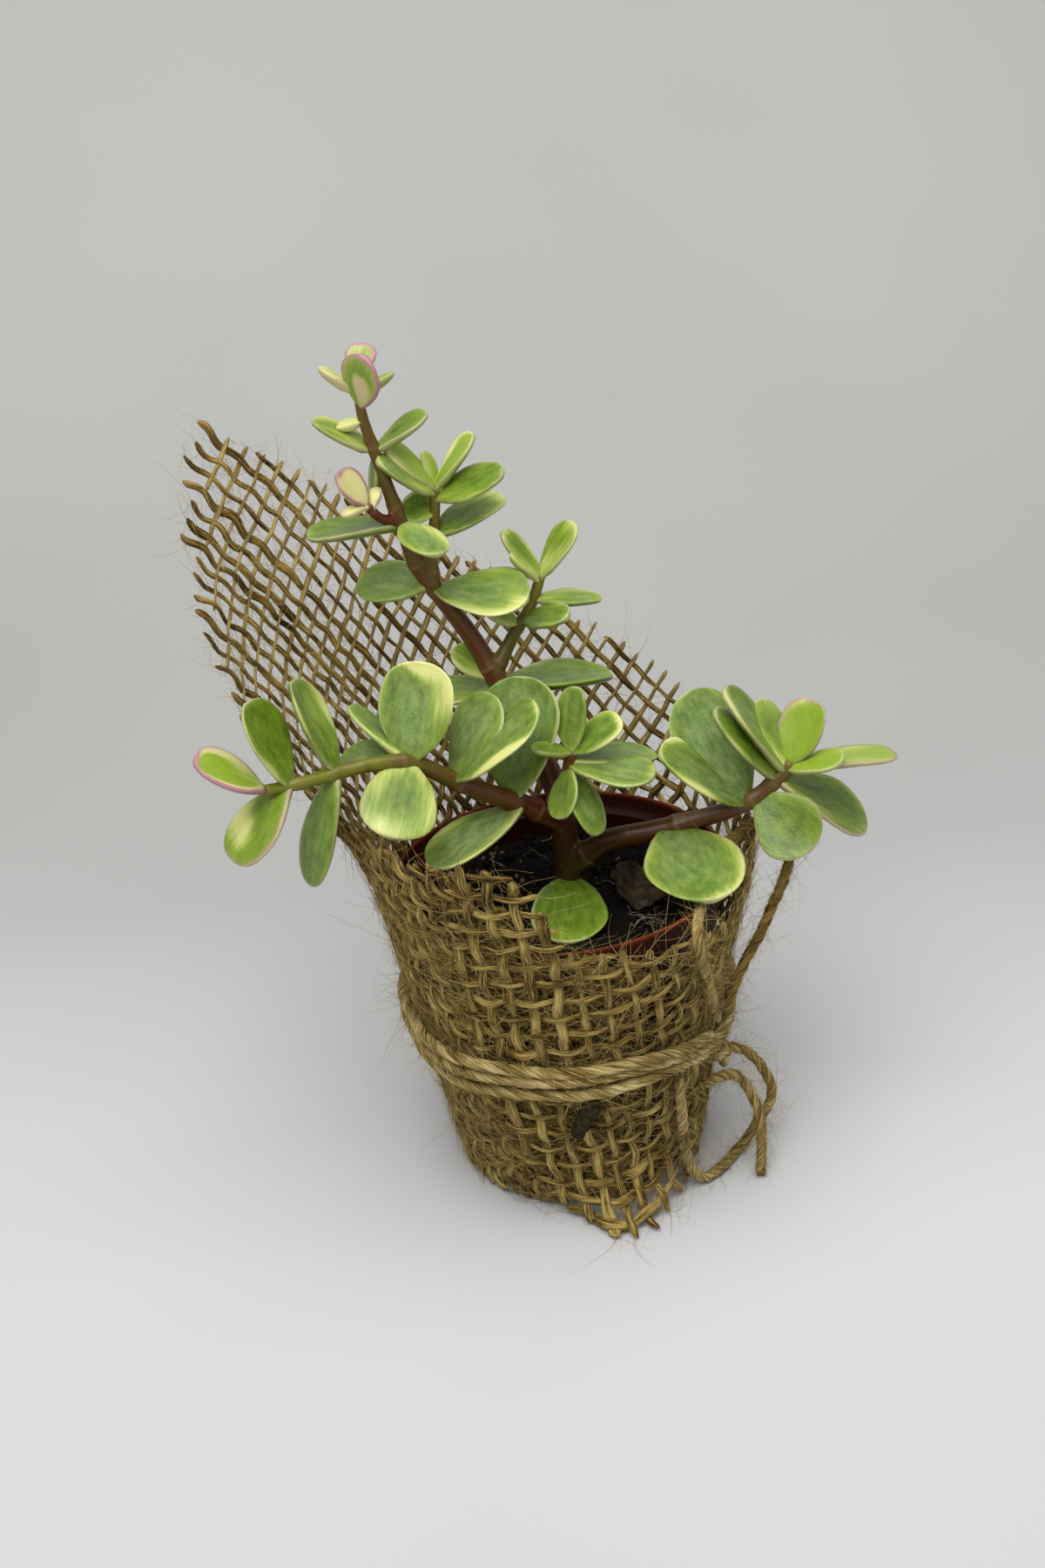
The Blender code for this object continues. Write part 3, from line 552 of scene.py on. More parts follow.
# %% Hairs of the burlap
STANDING = 9700
BRIDGING = 4700
FREE_FROM = 62
height = yarn_places[:, 2]
bearing = np.degrees(np.arctan2(yarn_places[:, 0], -yarn_places[:, 1]))
weight = np.where(height < FREE_FROM, 1.0, 0.62)
weight[(bearing > -128) & (bearing < -80) & (height > 78)] *= 2.4  # the frayed edge of the flap
weight[(bearing > 35) & (bearing < 95) & (height > 26)] *= 2.0  # the worn side by the bow
pick = chance.choice(len(yarn_places), STANDING, p=weight / weight.sum())
side = np.where((height[pick] > FREE_FROM) & (chance.random(len(pick)) < 0.5), -1.0, 1.0)[:, None]
length = (chance.gamma(4.0, 0.9, len(pick)) + 1.0) * np.where(height[pick] < 50, 0.72, 0.82)
hairs = Bundle()
add_hairs(hairs, yarn_places[pick] + yarn_outward[pick] * side * 0.3, yarn_outward[pick] * side,
          length, radius=0.038, lift=0.36)
burlap_hairs = hairs.piece("burlap_hairs", HAIR_JUTE, "burlap")
weight = np.where(height < 66, 1.0, 0.15)
pick = chance.choice(len(yarn_places), BRIDGING, p=weight / weight.sum())
depth = chance.uniform(-0.6, 0.4, len(pick))[:, None]
bridging = Bundle()
add_hairs(bridging, yarn_places[pick] + yarn_outward[pick] * depth, yarn_outward[pick],
          chance.gamma(5.0, 0.9, len(pick)) + 1.5, radius=0.042, lift=0.14)
bridging_hairs = bridging.piece("bridging_hairs", HAIR_JUTE, "burlap")

# %% [markdown]
# The winding is the same twine, drawn tight round the waist, with a small hard knot under the bow.
# The knot is a trefoil: one strand that passes through itself, as the real one does.

# %% Winding
TURNS = 3
KNOT_BEARING = 61.0
KNOT_HEIGHT = 23.2
KNOT_DIP = 3.5


def turn_place(angle):
    """A point of the winding, by the angle run since its start. The turns wander and cross the weave."""
    bearing = (KNOT_BEARING + 13 + angle + 35) % 360 - 35
    step_up = 2.0 * np.interp(bearing, (-35, 26, 75, 290, 322, 325), (1, 1, 0, 0, 1, 1))
    height = 28.3 + 2.3 * angle / 360 - KNOT_DIP * np.exp(-((bearing - KNOT_BEARING) / 28) ** 2)
    loose = 0.42 * np.sin(np.radians(angle) * 2.3 + 0.6) + 0.22 * np.sin(np.radians(angle) * 7.1)
    radius = CONE_FOOT + CONE_SPREAD * height + step_up + 2.1 + 0.15 * np.sin(np.radians(angle) * 5.3)
    return around(bearing, radius, height + loose)


winding = Bundle()
wound = add_plied(winding, turn_place(np.linspace(0, 360 * TURNS - 26, 90 * TURNS)),
                  1.08 * TWINE_RADIUS, lay_length=11.5, mark=5.0)
winding.piece("winding", TWINE_JUTE, "twine", "twine_turns")

# %% Knot
knot = Bundle()
t = np.linspace(0, math.tau, 60)
loop = np.column_stack([np.sin(t) + 2 * np.sin(2 * t), -np.sin(3 * t), np.cos(t) - 2 * np.cos(2 * t)])
loop = loop * (0.62, 0.75, 0.55)
knot_middle = around(KNOT_BEARING, wrap_radius(KNOT_BEARING, KNOT_HEIGHT) + 2.7, KNOT_HEIGHT)
turn = math.radians(KNOT_BEARING)
spin = np.array([[math.cos(turn), math.sin(turn), 0], [-math.sin(turn), math.cos(turn), 0], [0, 0, 1]])
add_plied(knot, loop @ spin + knot_middle, 0.85 * TWINE_RADIUS, lay_length=6.0, mark=8.0)
knot.piece("knot", TWINE_JUTE, "twine", "twine_knot")

# %% Hairs of the twine
twine_hairs = Bundle()
for route, count in zip((wound, *free_twine.values()), (2000, 760, 460, 240)):
    pick = chance.integers(1, len(route) - 1, count)
    away = unit(np.cross(unit(route[pick + 1] - route[pick - 1]), chance.normal(size=(count, 3))))
    low = (away[:, 2] < 0) & (route[pick, 2] < 6)
    away[low, 2] *= -1
    add_hairs(twine_hairs, route[pick] + away * 0.85, away, chance.gamma(3.0, 0.8, count) + 0.8,
              radius=0.03, lift=0.5)
twine_hairs.piece("twine_hairs", HAIR_JUTE, "twine")

# %% [markdown]
# A nursery pot is vacuum-formed or thin-moulded polypropylene, here terracotta red. The wall is under
# a millimetre thick, so light glows through the lip, and the skin has a soft gloss with fine flow marks.
# It is a turned profile, cut by six drain holes, as moulded pots have.

# %% Polypropylene pot
plastic, shader = new_material("moulded_polypropylene", Roughness=0.48, Specular_IOR_Level=0.15,
                               Subsurface_Weight=0.2, Subsurface_Scale=0.0012, IOR=1.49)
place = add_node(plastic, "TexCoord", {}).outputs["Object"]
flow = add_node(plastic, "TexNoise", {"Scale": 160.0, "Detail": 3.0, "Vector": place})
lip = add_node(plastic, "ValToRGB", {"stops": ((0.3, "#4E1D06"), (0.75, "#662907")), "Fac": flow})
# Below the lip the whole pot is drawn a dark red-brown, which is painted shade.
shaded_wall = add_node(plastic, "ValToRGB", {"stops": ((0.3, "#230803"), (0.75, "#341006")), "Fac": flow})
level = add_node(plastic, "SeparateXYZ", {0: place}).outputs[2]
at_lip = add_node(plastic, "MapRange", {0: level, 1: 0.0547, 2: 0.0554})
colour = add_node(plastic, "Mix", {"data_type": "RGBA", 0: at_lip, 6: shaded_wall, 7: lip}).outputs[2]
bump = add_node(plastic, "Bump", {"Strength": 0.12, "Distance": 0.0003, "Height": flow})
join(plastic, shader, Base_Color=colour, Normal=bump)

# %% The turned pot
POT_PROFILE = (
    (0, 1.3), (18.6, 1.3), (19.3, 1.9), (26.7, 52), (27.6, 52.6), (28.1, 53.2), (28.15, 55),
    (28.3, 55.35), (28.6, 55.5), (28.85, 55.4), (29, 55.1), (29, 52.4), (28.8, 52.05), (27.62, 51.8),
    (20.15, 0.8), (19.95, 0.25), (19.5, 0), (0, 0))
SEGMENTS = 96
mesh = bpy.data.meshes.new("nursery_pot")
steps = [(i, i + 1) for i in range(len(POT_PROFILE) - 1)]
mesh.from_pydata([(r * MM, 0, z * MM) for r, z in POT_PROFILE], steps, [])
pot = bpy.data.objects.new("nursery_pot", mesh)
bpy.context.collection.objects.link(pot)
screw = pot.modifiers.new("turn", "SCREW")
screw.steps = SEGMENTS
screw.render_steps = SEGMENTS
screw.use_merge_vertices = True
screw.merge_threshold = 0.00001

# %% Drain holes
DRAINS = 6
DRAIN_RING = 13.5
DRAIN_RADIUS = 2.4
drains = bmesh.new()
for i in range(DRAINS):
    hole = Matrix.Translation(Vector(around(360.0 / DRAINS * i, DRAIN_RING, 0.0)) * MM)
    bmesh.ops.create_cone(drains, cap_ends=True, segments=24, radius1=DRAIN_RADIUS * MM,
                          radius2=DRAIN_RADIUS * MM, depth=5 * MM, matrix=hole)
cutter_mesh = bpy.data.meshes.new("drains")
drains.to_mesh(cutter_mesh)
drains.free()
cutter = bpy.data.objects.new("drains", cutter_mesh)
bpy.context.collection.objects.link(cutter)
cut = pot.modifiers.new("drain_holes", "BOOLEAN")
cut.operation = "DIFFERENCE"
cut.object = cutter


# %% The finished pot
def apply_modifiers(thing):
    """Keeps what the modifiers make of a mesh, so that nothing else is needed to draw it."""
    bpy.context.view_layer.update()
    seen = thing.evaluated_get(bpy.context.evaluated_depsgraph_get())
    thing.data = bpy.data.meshes.new_from_object(seen)
    thing.modifiers.clear()


apply_modifiers(pot)
bpy.data.objects.remove(cutter, do_unlink=True)
pot.data.materials.clear()
pot.data.materials.append(plastic)
pot.data.shade_smooth()
pot.data.set_sharp_from_angle(angle=math.radians(40))
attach(pot, "root")
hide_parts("pot")
print("pot has", len(pot.data.polygons), "faces")

# %% [markdown]
# The pot is filled with peat: black, moist crumbs with pale root fibres and brown bits of bark.
# The body of the soil is a lumpy disc, and the crumbs, fibres and bark lie loose on it.

# %% Peat
def grainy(name, marks, grain, stops, relief=None, **settings):
    """A dull material coloured by its grain, and raised by it if a strength and depth are given."""
    material, shader = new_material(name, **settings)
    if marks:
        place = add_node(material, "Attribute", {"attribute_name": marks}).outputs["Vector"]
    else:
        place = add_node(material, "TexCoord", {}).outputs["Object"]
    specks = add_node(material, "TexNoise", {**grain, "Vector": place})
    colour = add_node(material, "ValToRGB", {"stops": stops, "Fac": specks})
    join(material, shader, Base_Color=colour)
    if relief:
        strength, deep = relief
        bump = add_node(material, "Bump", {"Strength": strength, "Distance": deep, "Height": specks})
        join(material, shader, Normal=bump)
    return material


peat = grainy("moist_peat", "", {"Scale": 900.0, "Detail": 5.0, "Roughness": 0.7},
              ((0.35, "#040302"), (0.82, "#352A1A"), (0.64, "#120D07")), (0.9, 0.0006),
              Roughness=0.9, Specular_IOR_Level=0.15)
bark = grainy("bark_crumb", "", {"Scale": 700.0, "Detail": 3.0}, ((0.3, "#3A2A1C"), (0.75, "#7A6040")),
              (0.6, 0.0003), Roughness=0.8)


# %% The filled pot
FILL_RADIUS = 26.0
RINGS = 44
SPOKES = 120


def under_leaf(x, y):
    """Whether the lowest leaf lies over this place of the soil."""
    return abs(x - 2) < 9 and -17 < y < 3


def soil_height(x, y):
    return 48.0 + 0.9 * noise.fractal(Vector((x / 5.5, y / 5.5, 2.0)), 0.9, 2.0, 4)


turns = np.arange(SPOKES) * math.tau / SPOKES
places = []
for r in np.linspace(0.6, FILL_RADIUS, RINGS):
    for a in turns:
        x, y = r * math.cos(a), r * math.sin(a)
        places.append((x, y, soil_height(x, y)))
places += [(19.0 * math.cos(a), 19.0 * math.sin(a), 1.8) for a in turns]
faces = []
for row in range(RINGS):
    for k in range(SPOKES):
        here, beside = row * SPOKES + k, row * SPOKES + (k + 1) % SPOKES
        faces.append([here + SPOKES, beside + SPOKES, beside, here])
faces.append(list(range(SPOKES)))
faces.append(list(range(RINGS * SPOKES, (RINGS + 1) * SPOKES))[::-1])
filled = Bundle()
filled.add(np.array(places), faces)
filled.piece("peat_fill", peat, "peat_soil", "soil")

# %% Crumbs and bark
ball = bmesh.new()
bmesh.ops.create_icosphere(ball, subdivisions=1, radius=1.0)
ball_places = np.array([vert.co for vert in ball.verts])
ball_faces = [[vert.index for vert in face.verts] for face in ball.faces]
ball.free()
for name, material, count, largest in (("peat_crumbs", peat, 900, 1.1), ("bark_bits", bark, 120, 0.8)):
    crumbs = Bundle()
    for _ in range(count):
        r = (FILL_RADIUS - 0.7) * math.sqrt(chance.random())
        a = chance.uniform(0, math.tau)
        x, y = r * math.cos(a), r * math.sin(a)
        size = chance.uniform(0.3, largest) * chance.uniform(0.6, 1.1, 3)
        if under_leaf(x, y):
            size = size * 0.35
        rough = ball_places * (1 + 0.3 * chance.normal(size=(len(ball_places), 1)))
        spot = np.array((x, y, soil_height(x, y) + 0.25 * size[2]))
        crumbs.add(rough * size + spot, ball_faces)
    crumbs.piece(name, material, "peat_soil")

# %% Root fibres
root = grainy("root_fibre", "lay", {"Scale": 0.8}, ((0.3, "#3C3628"), (0.7, "#948C74")), Roughness=0.7)
roots = Bundle()
for number in range(100):
    middle, spread = ((15, -13), 6.0) if number % 5 < 3 else ((0, 0), 14.0)
    x, y = chance.normal(middle, spread)
    if math.hypot(x, y) > 24.5:
        continue
    way = chance.uniform(0, math.tau)
    line = []
    for _ in range(8):
        line.append((x, y, soil_height(x, y) + 0.45 + chance.uniform(0, 0.5)))
        way += chance.normal(0, 0.45)
        step = chance.uniform(0.5, 1.3)
        x, y = x + step * math.cos(way), y + step * math.sin(way)
        if math.hypot(x, y) > 25.5 or under_leaf(x, y):
            break
    if len(line) > 3:
        line = smooth_route(line, 2)
        thin = np.full(len(line), chance.uniform(0.04, 0.09))
        add_strand(roots, line, thin, thin, (0.1, 0.2, 1.0), sides=5, mark=number)
roots.piece("root_fibres", root, "peat_soil")

# %% [markdown]
# The plant is described as its grower would: each stem has a route, and each leaf has its place along
# it, the way it points and leans, and its size. Three more values colour the leaf: how many millimetres
# of cream its margin has, how pink the edge is, and how much waxy bloom greys its upper side.

# %% The plant's stems and leaves
STEMS = {
    "tall": {
        "node": "stem_tall", "radii": (2.7, 0.8), "age": (0.98, 0.3),
        "route": ((2, 4, 37), (2, 4, 54), (1.5, 4, 64), (0, 6, 71), (-7, 11, 86), (-10.5, 13, 93.5),
                  (-15.5, 14, 102), (-18.5, 14, 107.5), (-20, 13, 114.5), (-22.5, 12, 126), (-24, 11, 134),
                  (-24, 11, 139.5)),
        "leaves": (
            (0.13, 357, -6, 0, 18, 0.74, -1.2, 0, 0.1), (1, 165, 48, 0, 6.5, 0.78, 0.6, 2.2, 0.05),
            (0.96, 15, 60, 120, 10, 0.75, 4.6, 2.3, 0.05), (0.98, 262, 40, 0, 7.5, 0.42, 0.8, 0.8, 0),
            (0.98, 105, 26, 0, 6.5, 0.42, 0.7, 0.5, 0), (0.94, 250, -10, -15, 5, 0.55, 3, 0.1, 0),
            (0.89, 265, 36, -10, 11, 0.5, 0.8, 0.3, 0.1), (0.89, 105, 31, 10, 10.5, 0.5, 0.6, 0.3, 0.1),
            (0.88, 205, -56, -80, 10.5, 0.55, 0.9, 0.1, 0.2), (0.77, 277, 4, -5, 15.5, 0.62, 1, 0.3, 0.1),
            (0.77, 28, -9, 0, 12.5, 0.6, 0.9, 0.1, 0.8), (0.77, 130, 21, 40, 8, 0.75, 0.4, 0, 0.3),
            (0.66, 253, 2, -20, 13, 0.8, 0.5, 0, 0.6), (0.65, 62, 2, 20, 17, 0.7, 0.9, 0, 0.6),
            (0.48, 250, 38, -35, 9, 0.65, 0.6, 0, 0.4), (0.47, 96, 0, -5, 19.5, 0.6, 0.6, 0, 0.15),
            (0.46, 240, -5, -10, 16.5, 0.6, 0.5, 0, 0.6))},
    "left": {
        "node": "branch_left", "radii": (2, 0.9), "age": (0.95, -0.2),
        "route": ((1.7, 4, 62), (-1, 2, 64.5), (-5, 0, 68), (-12, -3, 73), (-17, -5, 77), (-22, -7, 81),
                  (-28, -9, 82.4), (-34, -11, 82.4), (-40, -14, 82.6), (-45, -16, 83)),
        "leaves": (
            (0.57, 135, 70, 25, 16.5, 0.82, 1.5, 0, 0.7), (0.57, 345, -26, -20, 14.5, 0.88, 0.85, 0.3, 0.1),
            (0.79, 237, 70, 15, 16.5, 0.55, 1.4, 0.4, 0.3), (0.79, 296, -64, -12, 19.5, 0.5, 1.6, 0.5, 0.3),
            (0.93, 242, 71, 0, 15, 0.7, 1, 0.2, 0.1), (0.93, 292, -38, -20, 15, 0.7, 3.4, 1.1, 0.05),
            (1, 285, 40, -20, 12.5, 0.68, 4.3, 1.9, 0), (0.42, 79, 42, 20, 19.5, 0.66, 1.6, 0, 0.5),
            (0.21, 150, 70, 5, 21, 0.7, 0.5, 0, 0.9), (0.42, 128, 55, 0, 15.5, 0.72, 0.5, 0, 0.8),
            (0.59, 240, 0, -10, 12.5, 0.75, 0.3, 0, 0.9), (0.58, 225, 34, 25, 14, 0.5, 0.5, 0, 0.3),
            (0.17, 306, -7.5, 5, 20, 0.62, 0.7, 0, 0.8))},
    "right": {
        "node": "branch_right", "radii": (2.2, 1.2), "age": (0.95, 0.35),
        "route": ((2, 4, 53.5), (5, 2, 56), (9, 0, 59.5), (16, -2, 61.5), (22, -3, 63), (32, -5, 66.5),
                  (38, -5, 71), (40, -5, 73)),
        "leaves": (
            (0.78, 235, 60, -15, 21, 0.72, -0.3, 0, 1), (0.77, 290, 44, -30, 19.5, 0.55, 1.6, 0, 0.5),
            (0.92, 286, 56, -30, 17.5, 0.5, 1.4, 0.5, 0.2), (0.96, 264, 61, -15, 18, 0.5, 1.3, 0.6, 0.4),
            (0.97, 213, 61, 10, 12.5, 0.7, 0.8, 0.3, 0.4), (0.99, 122, 62, 15, 11.5, 0.76, 2.2, 1.3, 0),
            (0.99, 96, 2, 0, 18, 0.52, 1.1, 1.2, 0), (0.97, 58, 21, 15, 10.5, 0.6, 1.3, 0.2, 0),
            (0.92, 104, -32, 25, 20, 0.6, 0.7, 0.9, 0.12), (0.82, 41, -28, 45, 13, 0.86, 0.5, 0.4, 0.1),
            (0.45, 15, -7, 0, 20.5, 0.8, 0.7, 0.1, 0.4))},
    "centre": {
        "node": "shoot_centre", "radii": (1.5, 0.9), "age": (0.9, 0.4),
        "route": ((0.8, 5.2, 66), (2, 1, 69), (3, -1, 73), (4, -2, 78)),
        "leaves": (
            (0.97, 155, 72, -20, 11, 0.62, 0.8, 0, 0.6), (0.97, 96, 31, 25, 10, 0.72, 1.4, 0, 0.3),
            (0.97, 284, 21, -5, 7, 0.6, 0.5, 0, 0.3), (0.8, 65, 0, 5, 15, 0.62, 0.8, 0, 0.6),
            (0.85, 107, -4, 0, 15.5, 0.52, 0.9, 0, 0.8), (0.8, 337, -43, 20, 9.5, 0.66, 0.2, 0, 0.5),
            (0.72, 26, -42, -20, 12, 0.6, 0.3, 0, 0.6))},
    "shoot_a": {
        "node": "stem_tall", "radii": (1.3, 0.8), "age": (0.35, 0.15),
        "route": ((-16.3, 14, 103.5), (-16, 15, 108), (-15, 15, 112), (-14, 15, 119.5)),
        "leaves": (
            (1, 270, 52, -15, 12, 0.5, 1.2, 0.7, 0), (0.95, 302, 42, -30, 12.5, 0.5, 0.9, 0.2, 0.3),
            (1, 100, 53, 10, 11, 0.5, 3.4, 0.2, 0), (1, 193, 52, 30, 7, 0.45, 1, 0.1, 0),
            (0.98, 127, 12, -5, 8.5, 0.45, 0.7, 0, 0), (0.9, 71, 21, 30, 13, 0.6, 0.9, 0.3, 0.2),
            (0.52, 109, 21, 15, 13.5, 0.62, 0.8, 0.2, 0.2))},
    "shoot_b": {
        "node": "stem_tall", "radii": (1.3, 0.8), "age": (0.32, 0.05),
        "route": ((-7.6, 11.5, 87.5), (-3, 14, 94), (0, 15, 98), (2, 15, 103)),
        "leaves": (
            (0.98, 249, 55, -5, 10, 0.52, 1.1, 0.2, 0.2), (0.96, 100, 56, 20, 11, 0.58, 1.1, 0.1, 0.1),
            (0.94, 307, 51, -35, 8, 0.42, 0.8, 0.1, 0), (0.96, 203, 34, 35, 6.5, 0.5, 0.7, 0, 0),
            (0.76, 80, 2, 5, 11.5, 0.5, 0.9, 0.1, 0.4), (0.54, 46, 15, 25, 10.5, 0.6, 0.5, 0, 0.4),
            (0.5, 291, 39, -35, 7, 0.6, 0.4, 0, 0.4))},
    "shoot_pink": {
        "node": "stem_tall", "radii": (0.9, 0.7), "age": (1, 1),
        "route": ((-20.4, 12.8, 115.5), (-23, 10, 117), (-25, 8, 120)),
        "leaves": (
            (1, 270, 58, -25, 7, 0.9, 9, 1.7, 0.2), (1, 295, -5, -10, 4.5, 0.6, 9, 0.6, 0),
            (0.85, 150, 50, 0, 4, 0.6, 2, 1, 0))},
}

# %% [markdown]
# Elephant bush leaves are smooth, fleshy and almost stalkless, and this variegated form has cream
# margins that turn pink in strong light. The green middle breaks into the cream in streaks that run
# along the leaf, so the noise is stretched to about 7 mm by 0.7 mm. The waxy skin has a broad soft
# gloss, and light enters the flesh a little, which subsurface scattering gives.

# %% Succulent leaf: values kept on each point
SMOOTH = {"interpolation_type": "SMOOTHSTEP"}
leaf, shader = new_material("succulent_leaf", Roughness=0.29, Coat_Weight=0.08, Coat_Roughness=0.18,
                            Subsurface_Weight=0.12, Subsurface_Scale=0.0015, IOR=1.43)
blade = add_node(leaf, "Attribute", {"attribute_name": "blade"}).outputs["Vector"]
tint = add_node(leaf, "Attribute", {"attribute_name": "tint"}).outputs["Vector"]
face = add_node(leaf, "Attribute", {"attribute_name": "face"}).outputs["Vector"]
rim = add_node(leaf, "SeparateXYZ", {0: blade}).outputs[2]
cream, pink, bloom = add_node(leaf, "SeparateXYZ", {0: tint}).outputs
top, seed, _ = add_node(leaf, "SeparateXYZ", {0: face}).outputs
apart = add_node(leaf, "CombineXYZ", {0: seed, 1: seed, 2: seed})
spot = add_node(leaf, "VectorMath", {"operation": "ADD", 0: blade, 1: apart})

# %% Succulent leaf: how far the cream reaches
stretch = add_node(leaf, "Mapping", {"Scale": (0.15, 1.4, 0.0), "Vector": spot})
streak = add_node(leaf, "TexNoise", {"Scale": 1.0, "Detail": 3.0, "Roughness": 0.55, "Vector": stretch})
sided = add_node(leaf, "Mapping", {"Scale": (0.05, 0.09, 0.1), "Vector": spot})
zone = add_node(leaf, "TexNoise", {"Scale": 1.0, "Detail": 1.0, "Vector": sided})
grown = add_node(leaf, "Mapping", {"Scale": (0.33, 0.68, 0.5), "Vector": spot})
mottle = add_node(leaf, "TexNoise", {"Scale": 1.0, "Detail": 4.0, "Roughness": 0.5, "Vector": grown})
pores = add_node(leaf, "TexNoise", {"Scale": 2.2, "Detail": 3.0, "Vector": spot})
uneven = add_node(leaf, "MapRange", {**SMOOTH, 0: zone, 1: 0.40, 2: 0.70, 3: -0.5, 4: 3.3})
least = add_node(leaf, "Math", {"operation": "SUBTRACT", 0: cream, 1: 3.5})
drawn = add_node(leaf, "Math", {"operation": "MULTIPLY", 0: cream, 1: uneven})
reach = add_node(leaf, "Math", {"operation": "MAXIMUM", 0: drawn, 1: least})
rough = add_node(leaf, "Math", {"operation": "MULTIPLY_ADD", 0: streak, 1: 3.2, 2: reach})
past = add_node(leaf, "Math", {"operation": "SUBTRACT", 0: rough, 1: rim})
creamy = add_node(leaf, "MapRange", {**SMOOTH, 0: past, 1: 1.2, 2: 4.9, 4: 0.95})
fading = add_node(leaf, "MapRange", {**SMOOTH, 0: past, 1: -0.7, 2: 3.2, 4: 0.75})

# %% Succulent leaf: the green middle and its bloom
grain = add_node(leaf, "Math", {"operation": "MULTIPLY_ADD", 0: pores, 1: 0.35, 2: mottle})
green = add_node(leaf, "ValToRGB", {"stops": ((0.42, "#436009"), (0.98, "#76901C")), "Fac": grain})
waxy = add_node(leaf, "ValToRGB", {"stops": ((0.45, "#637D40"), (0.95, "#99AE70")), "Fac": grain})
# The waxy bloom is the leaf's own. It is drawn strongest in the middle of the upper side and dotted with
# pale specks, which are partly a painted sheen and painted glints.
inner = add_node(leaf, "MapRange", {**SMOOTH, 0: rim, 1: 0.5, 2: 5.5, 3: 0.45})
dusted = add_node(leaf, "Math", {"operation": "MULTIPLY", 0: bloom, 1: inner})
bloom_and_sheen = add_node(leaf, "Math", {"operation": "MULTIPLY", "use_clamp": True, 0: dusted, 1: top})
middle = add_node(leaf, "Mix", {"data_type": "RGBA", 0: bloom_and_sheen, 6: green, 7: waxy}).outputs[2]
young = add_node(leaf, "MapRange", {0: bloom, 1: 0.08, 2: 0.0, 4: 0.6})
cells = add_node(leaf, "TexVoronoi", {"Scale": 1.7, "Vector": spot})
dots = add_node(leaf, "MapRange", {**SMOOTH, 0: cells, 1: 0.30, 2: 0.08, 4: 0.45})
dots_and_glints = add_node(leaf, "Math", {"operation": "MULTIPLY", 0: dots, 1: bloom_and_sheen})

# %% Succulent leaf: pale line, pink edge, and the colours laid one over the other
line = add_node(leaf, "MapRange", {**SMOOTH, 0: rim, 1: 0.35, 2: 0.02, 4: 0.4})
edge = add_node(leaf, "MapRange", {**SMOOTH, 0: rim, 1: 0.9, 2: 0.0, 4: 0.95})
patchy = add_node(leaf, "Math", {"operation": "MULTIPLY", 0: edge, 1: mottle})
flush = add_node(leaf, "MapRange", {0: pink, 1: 1.0, 2: 3.0, 4: 0.8})
wide = add_node(leaf, "Math", {"operation": "MULTIPLY", 0: flush, 1: creamy})
blush = add_node(leaf, "Math", {"operation": "MULTIPLY_ADD", "use_clamp": True,
                                0: patchy, 1: pink, 2: wide})
colour = middle
for amount, tone in ((young, "#98B234"), (dots_and_glints, "#B4C892"), (fading, "#93A93A"), (creamy, "#DADA8A"),
                     (line, "#CFD39A"), (blush, "#A87A82")):
    colour = add_node(leaf, "Mix", {"data_type": "RGBA", 0: amount, 6: colour, 7: tone}).outputs[2]
relief = add_node(leaf, "Math", {"operation": "MULTIPLY_ADD", 0: pores, 1: 0.6, 2: mottle})
bump = add_node(leaf, "Bump", {"Strength": 0.4, "Distance": 0.0003, "Height": relief})
join(leaf, shader, Base_Color=colour, Normal=bump)

# %% [markdown]
# A leaf is egg-shaped: narrow where it joins the stem and widest two thirds of the way out. Its upper
# side is nearly flat with a slightly raised margin, and its lower side bulges, so it looks thick from
# the edge. The outline is a formula, and the same formula gives each point's distance from the margin.

# %% Leaf shapes
STATIONS = np.array((0, 0.07, 0.15, 0.24, 0.34, 0.45, 0.56, 0.66, 0.75, 0.83, 0.89, 0.94, 0.975, 0.995))
SECTION = np.arange(18) * math.tau / 18


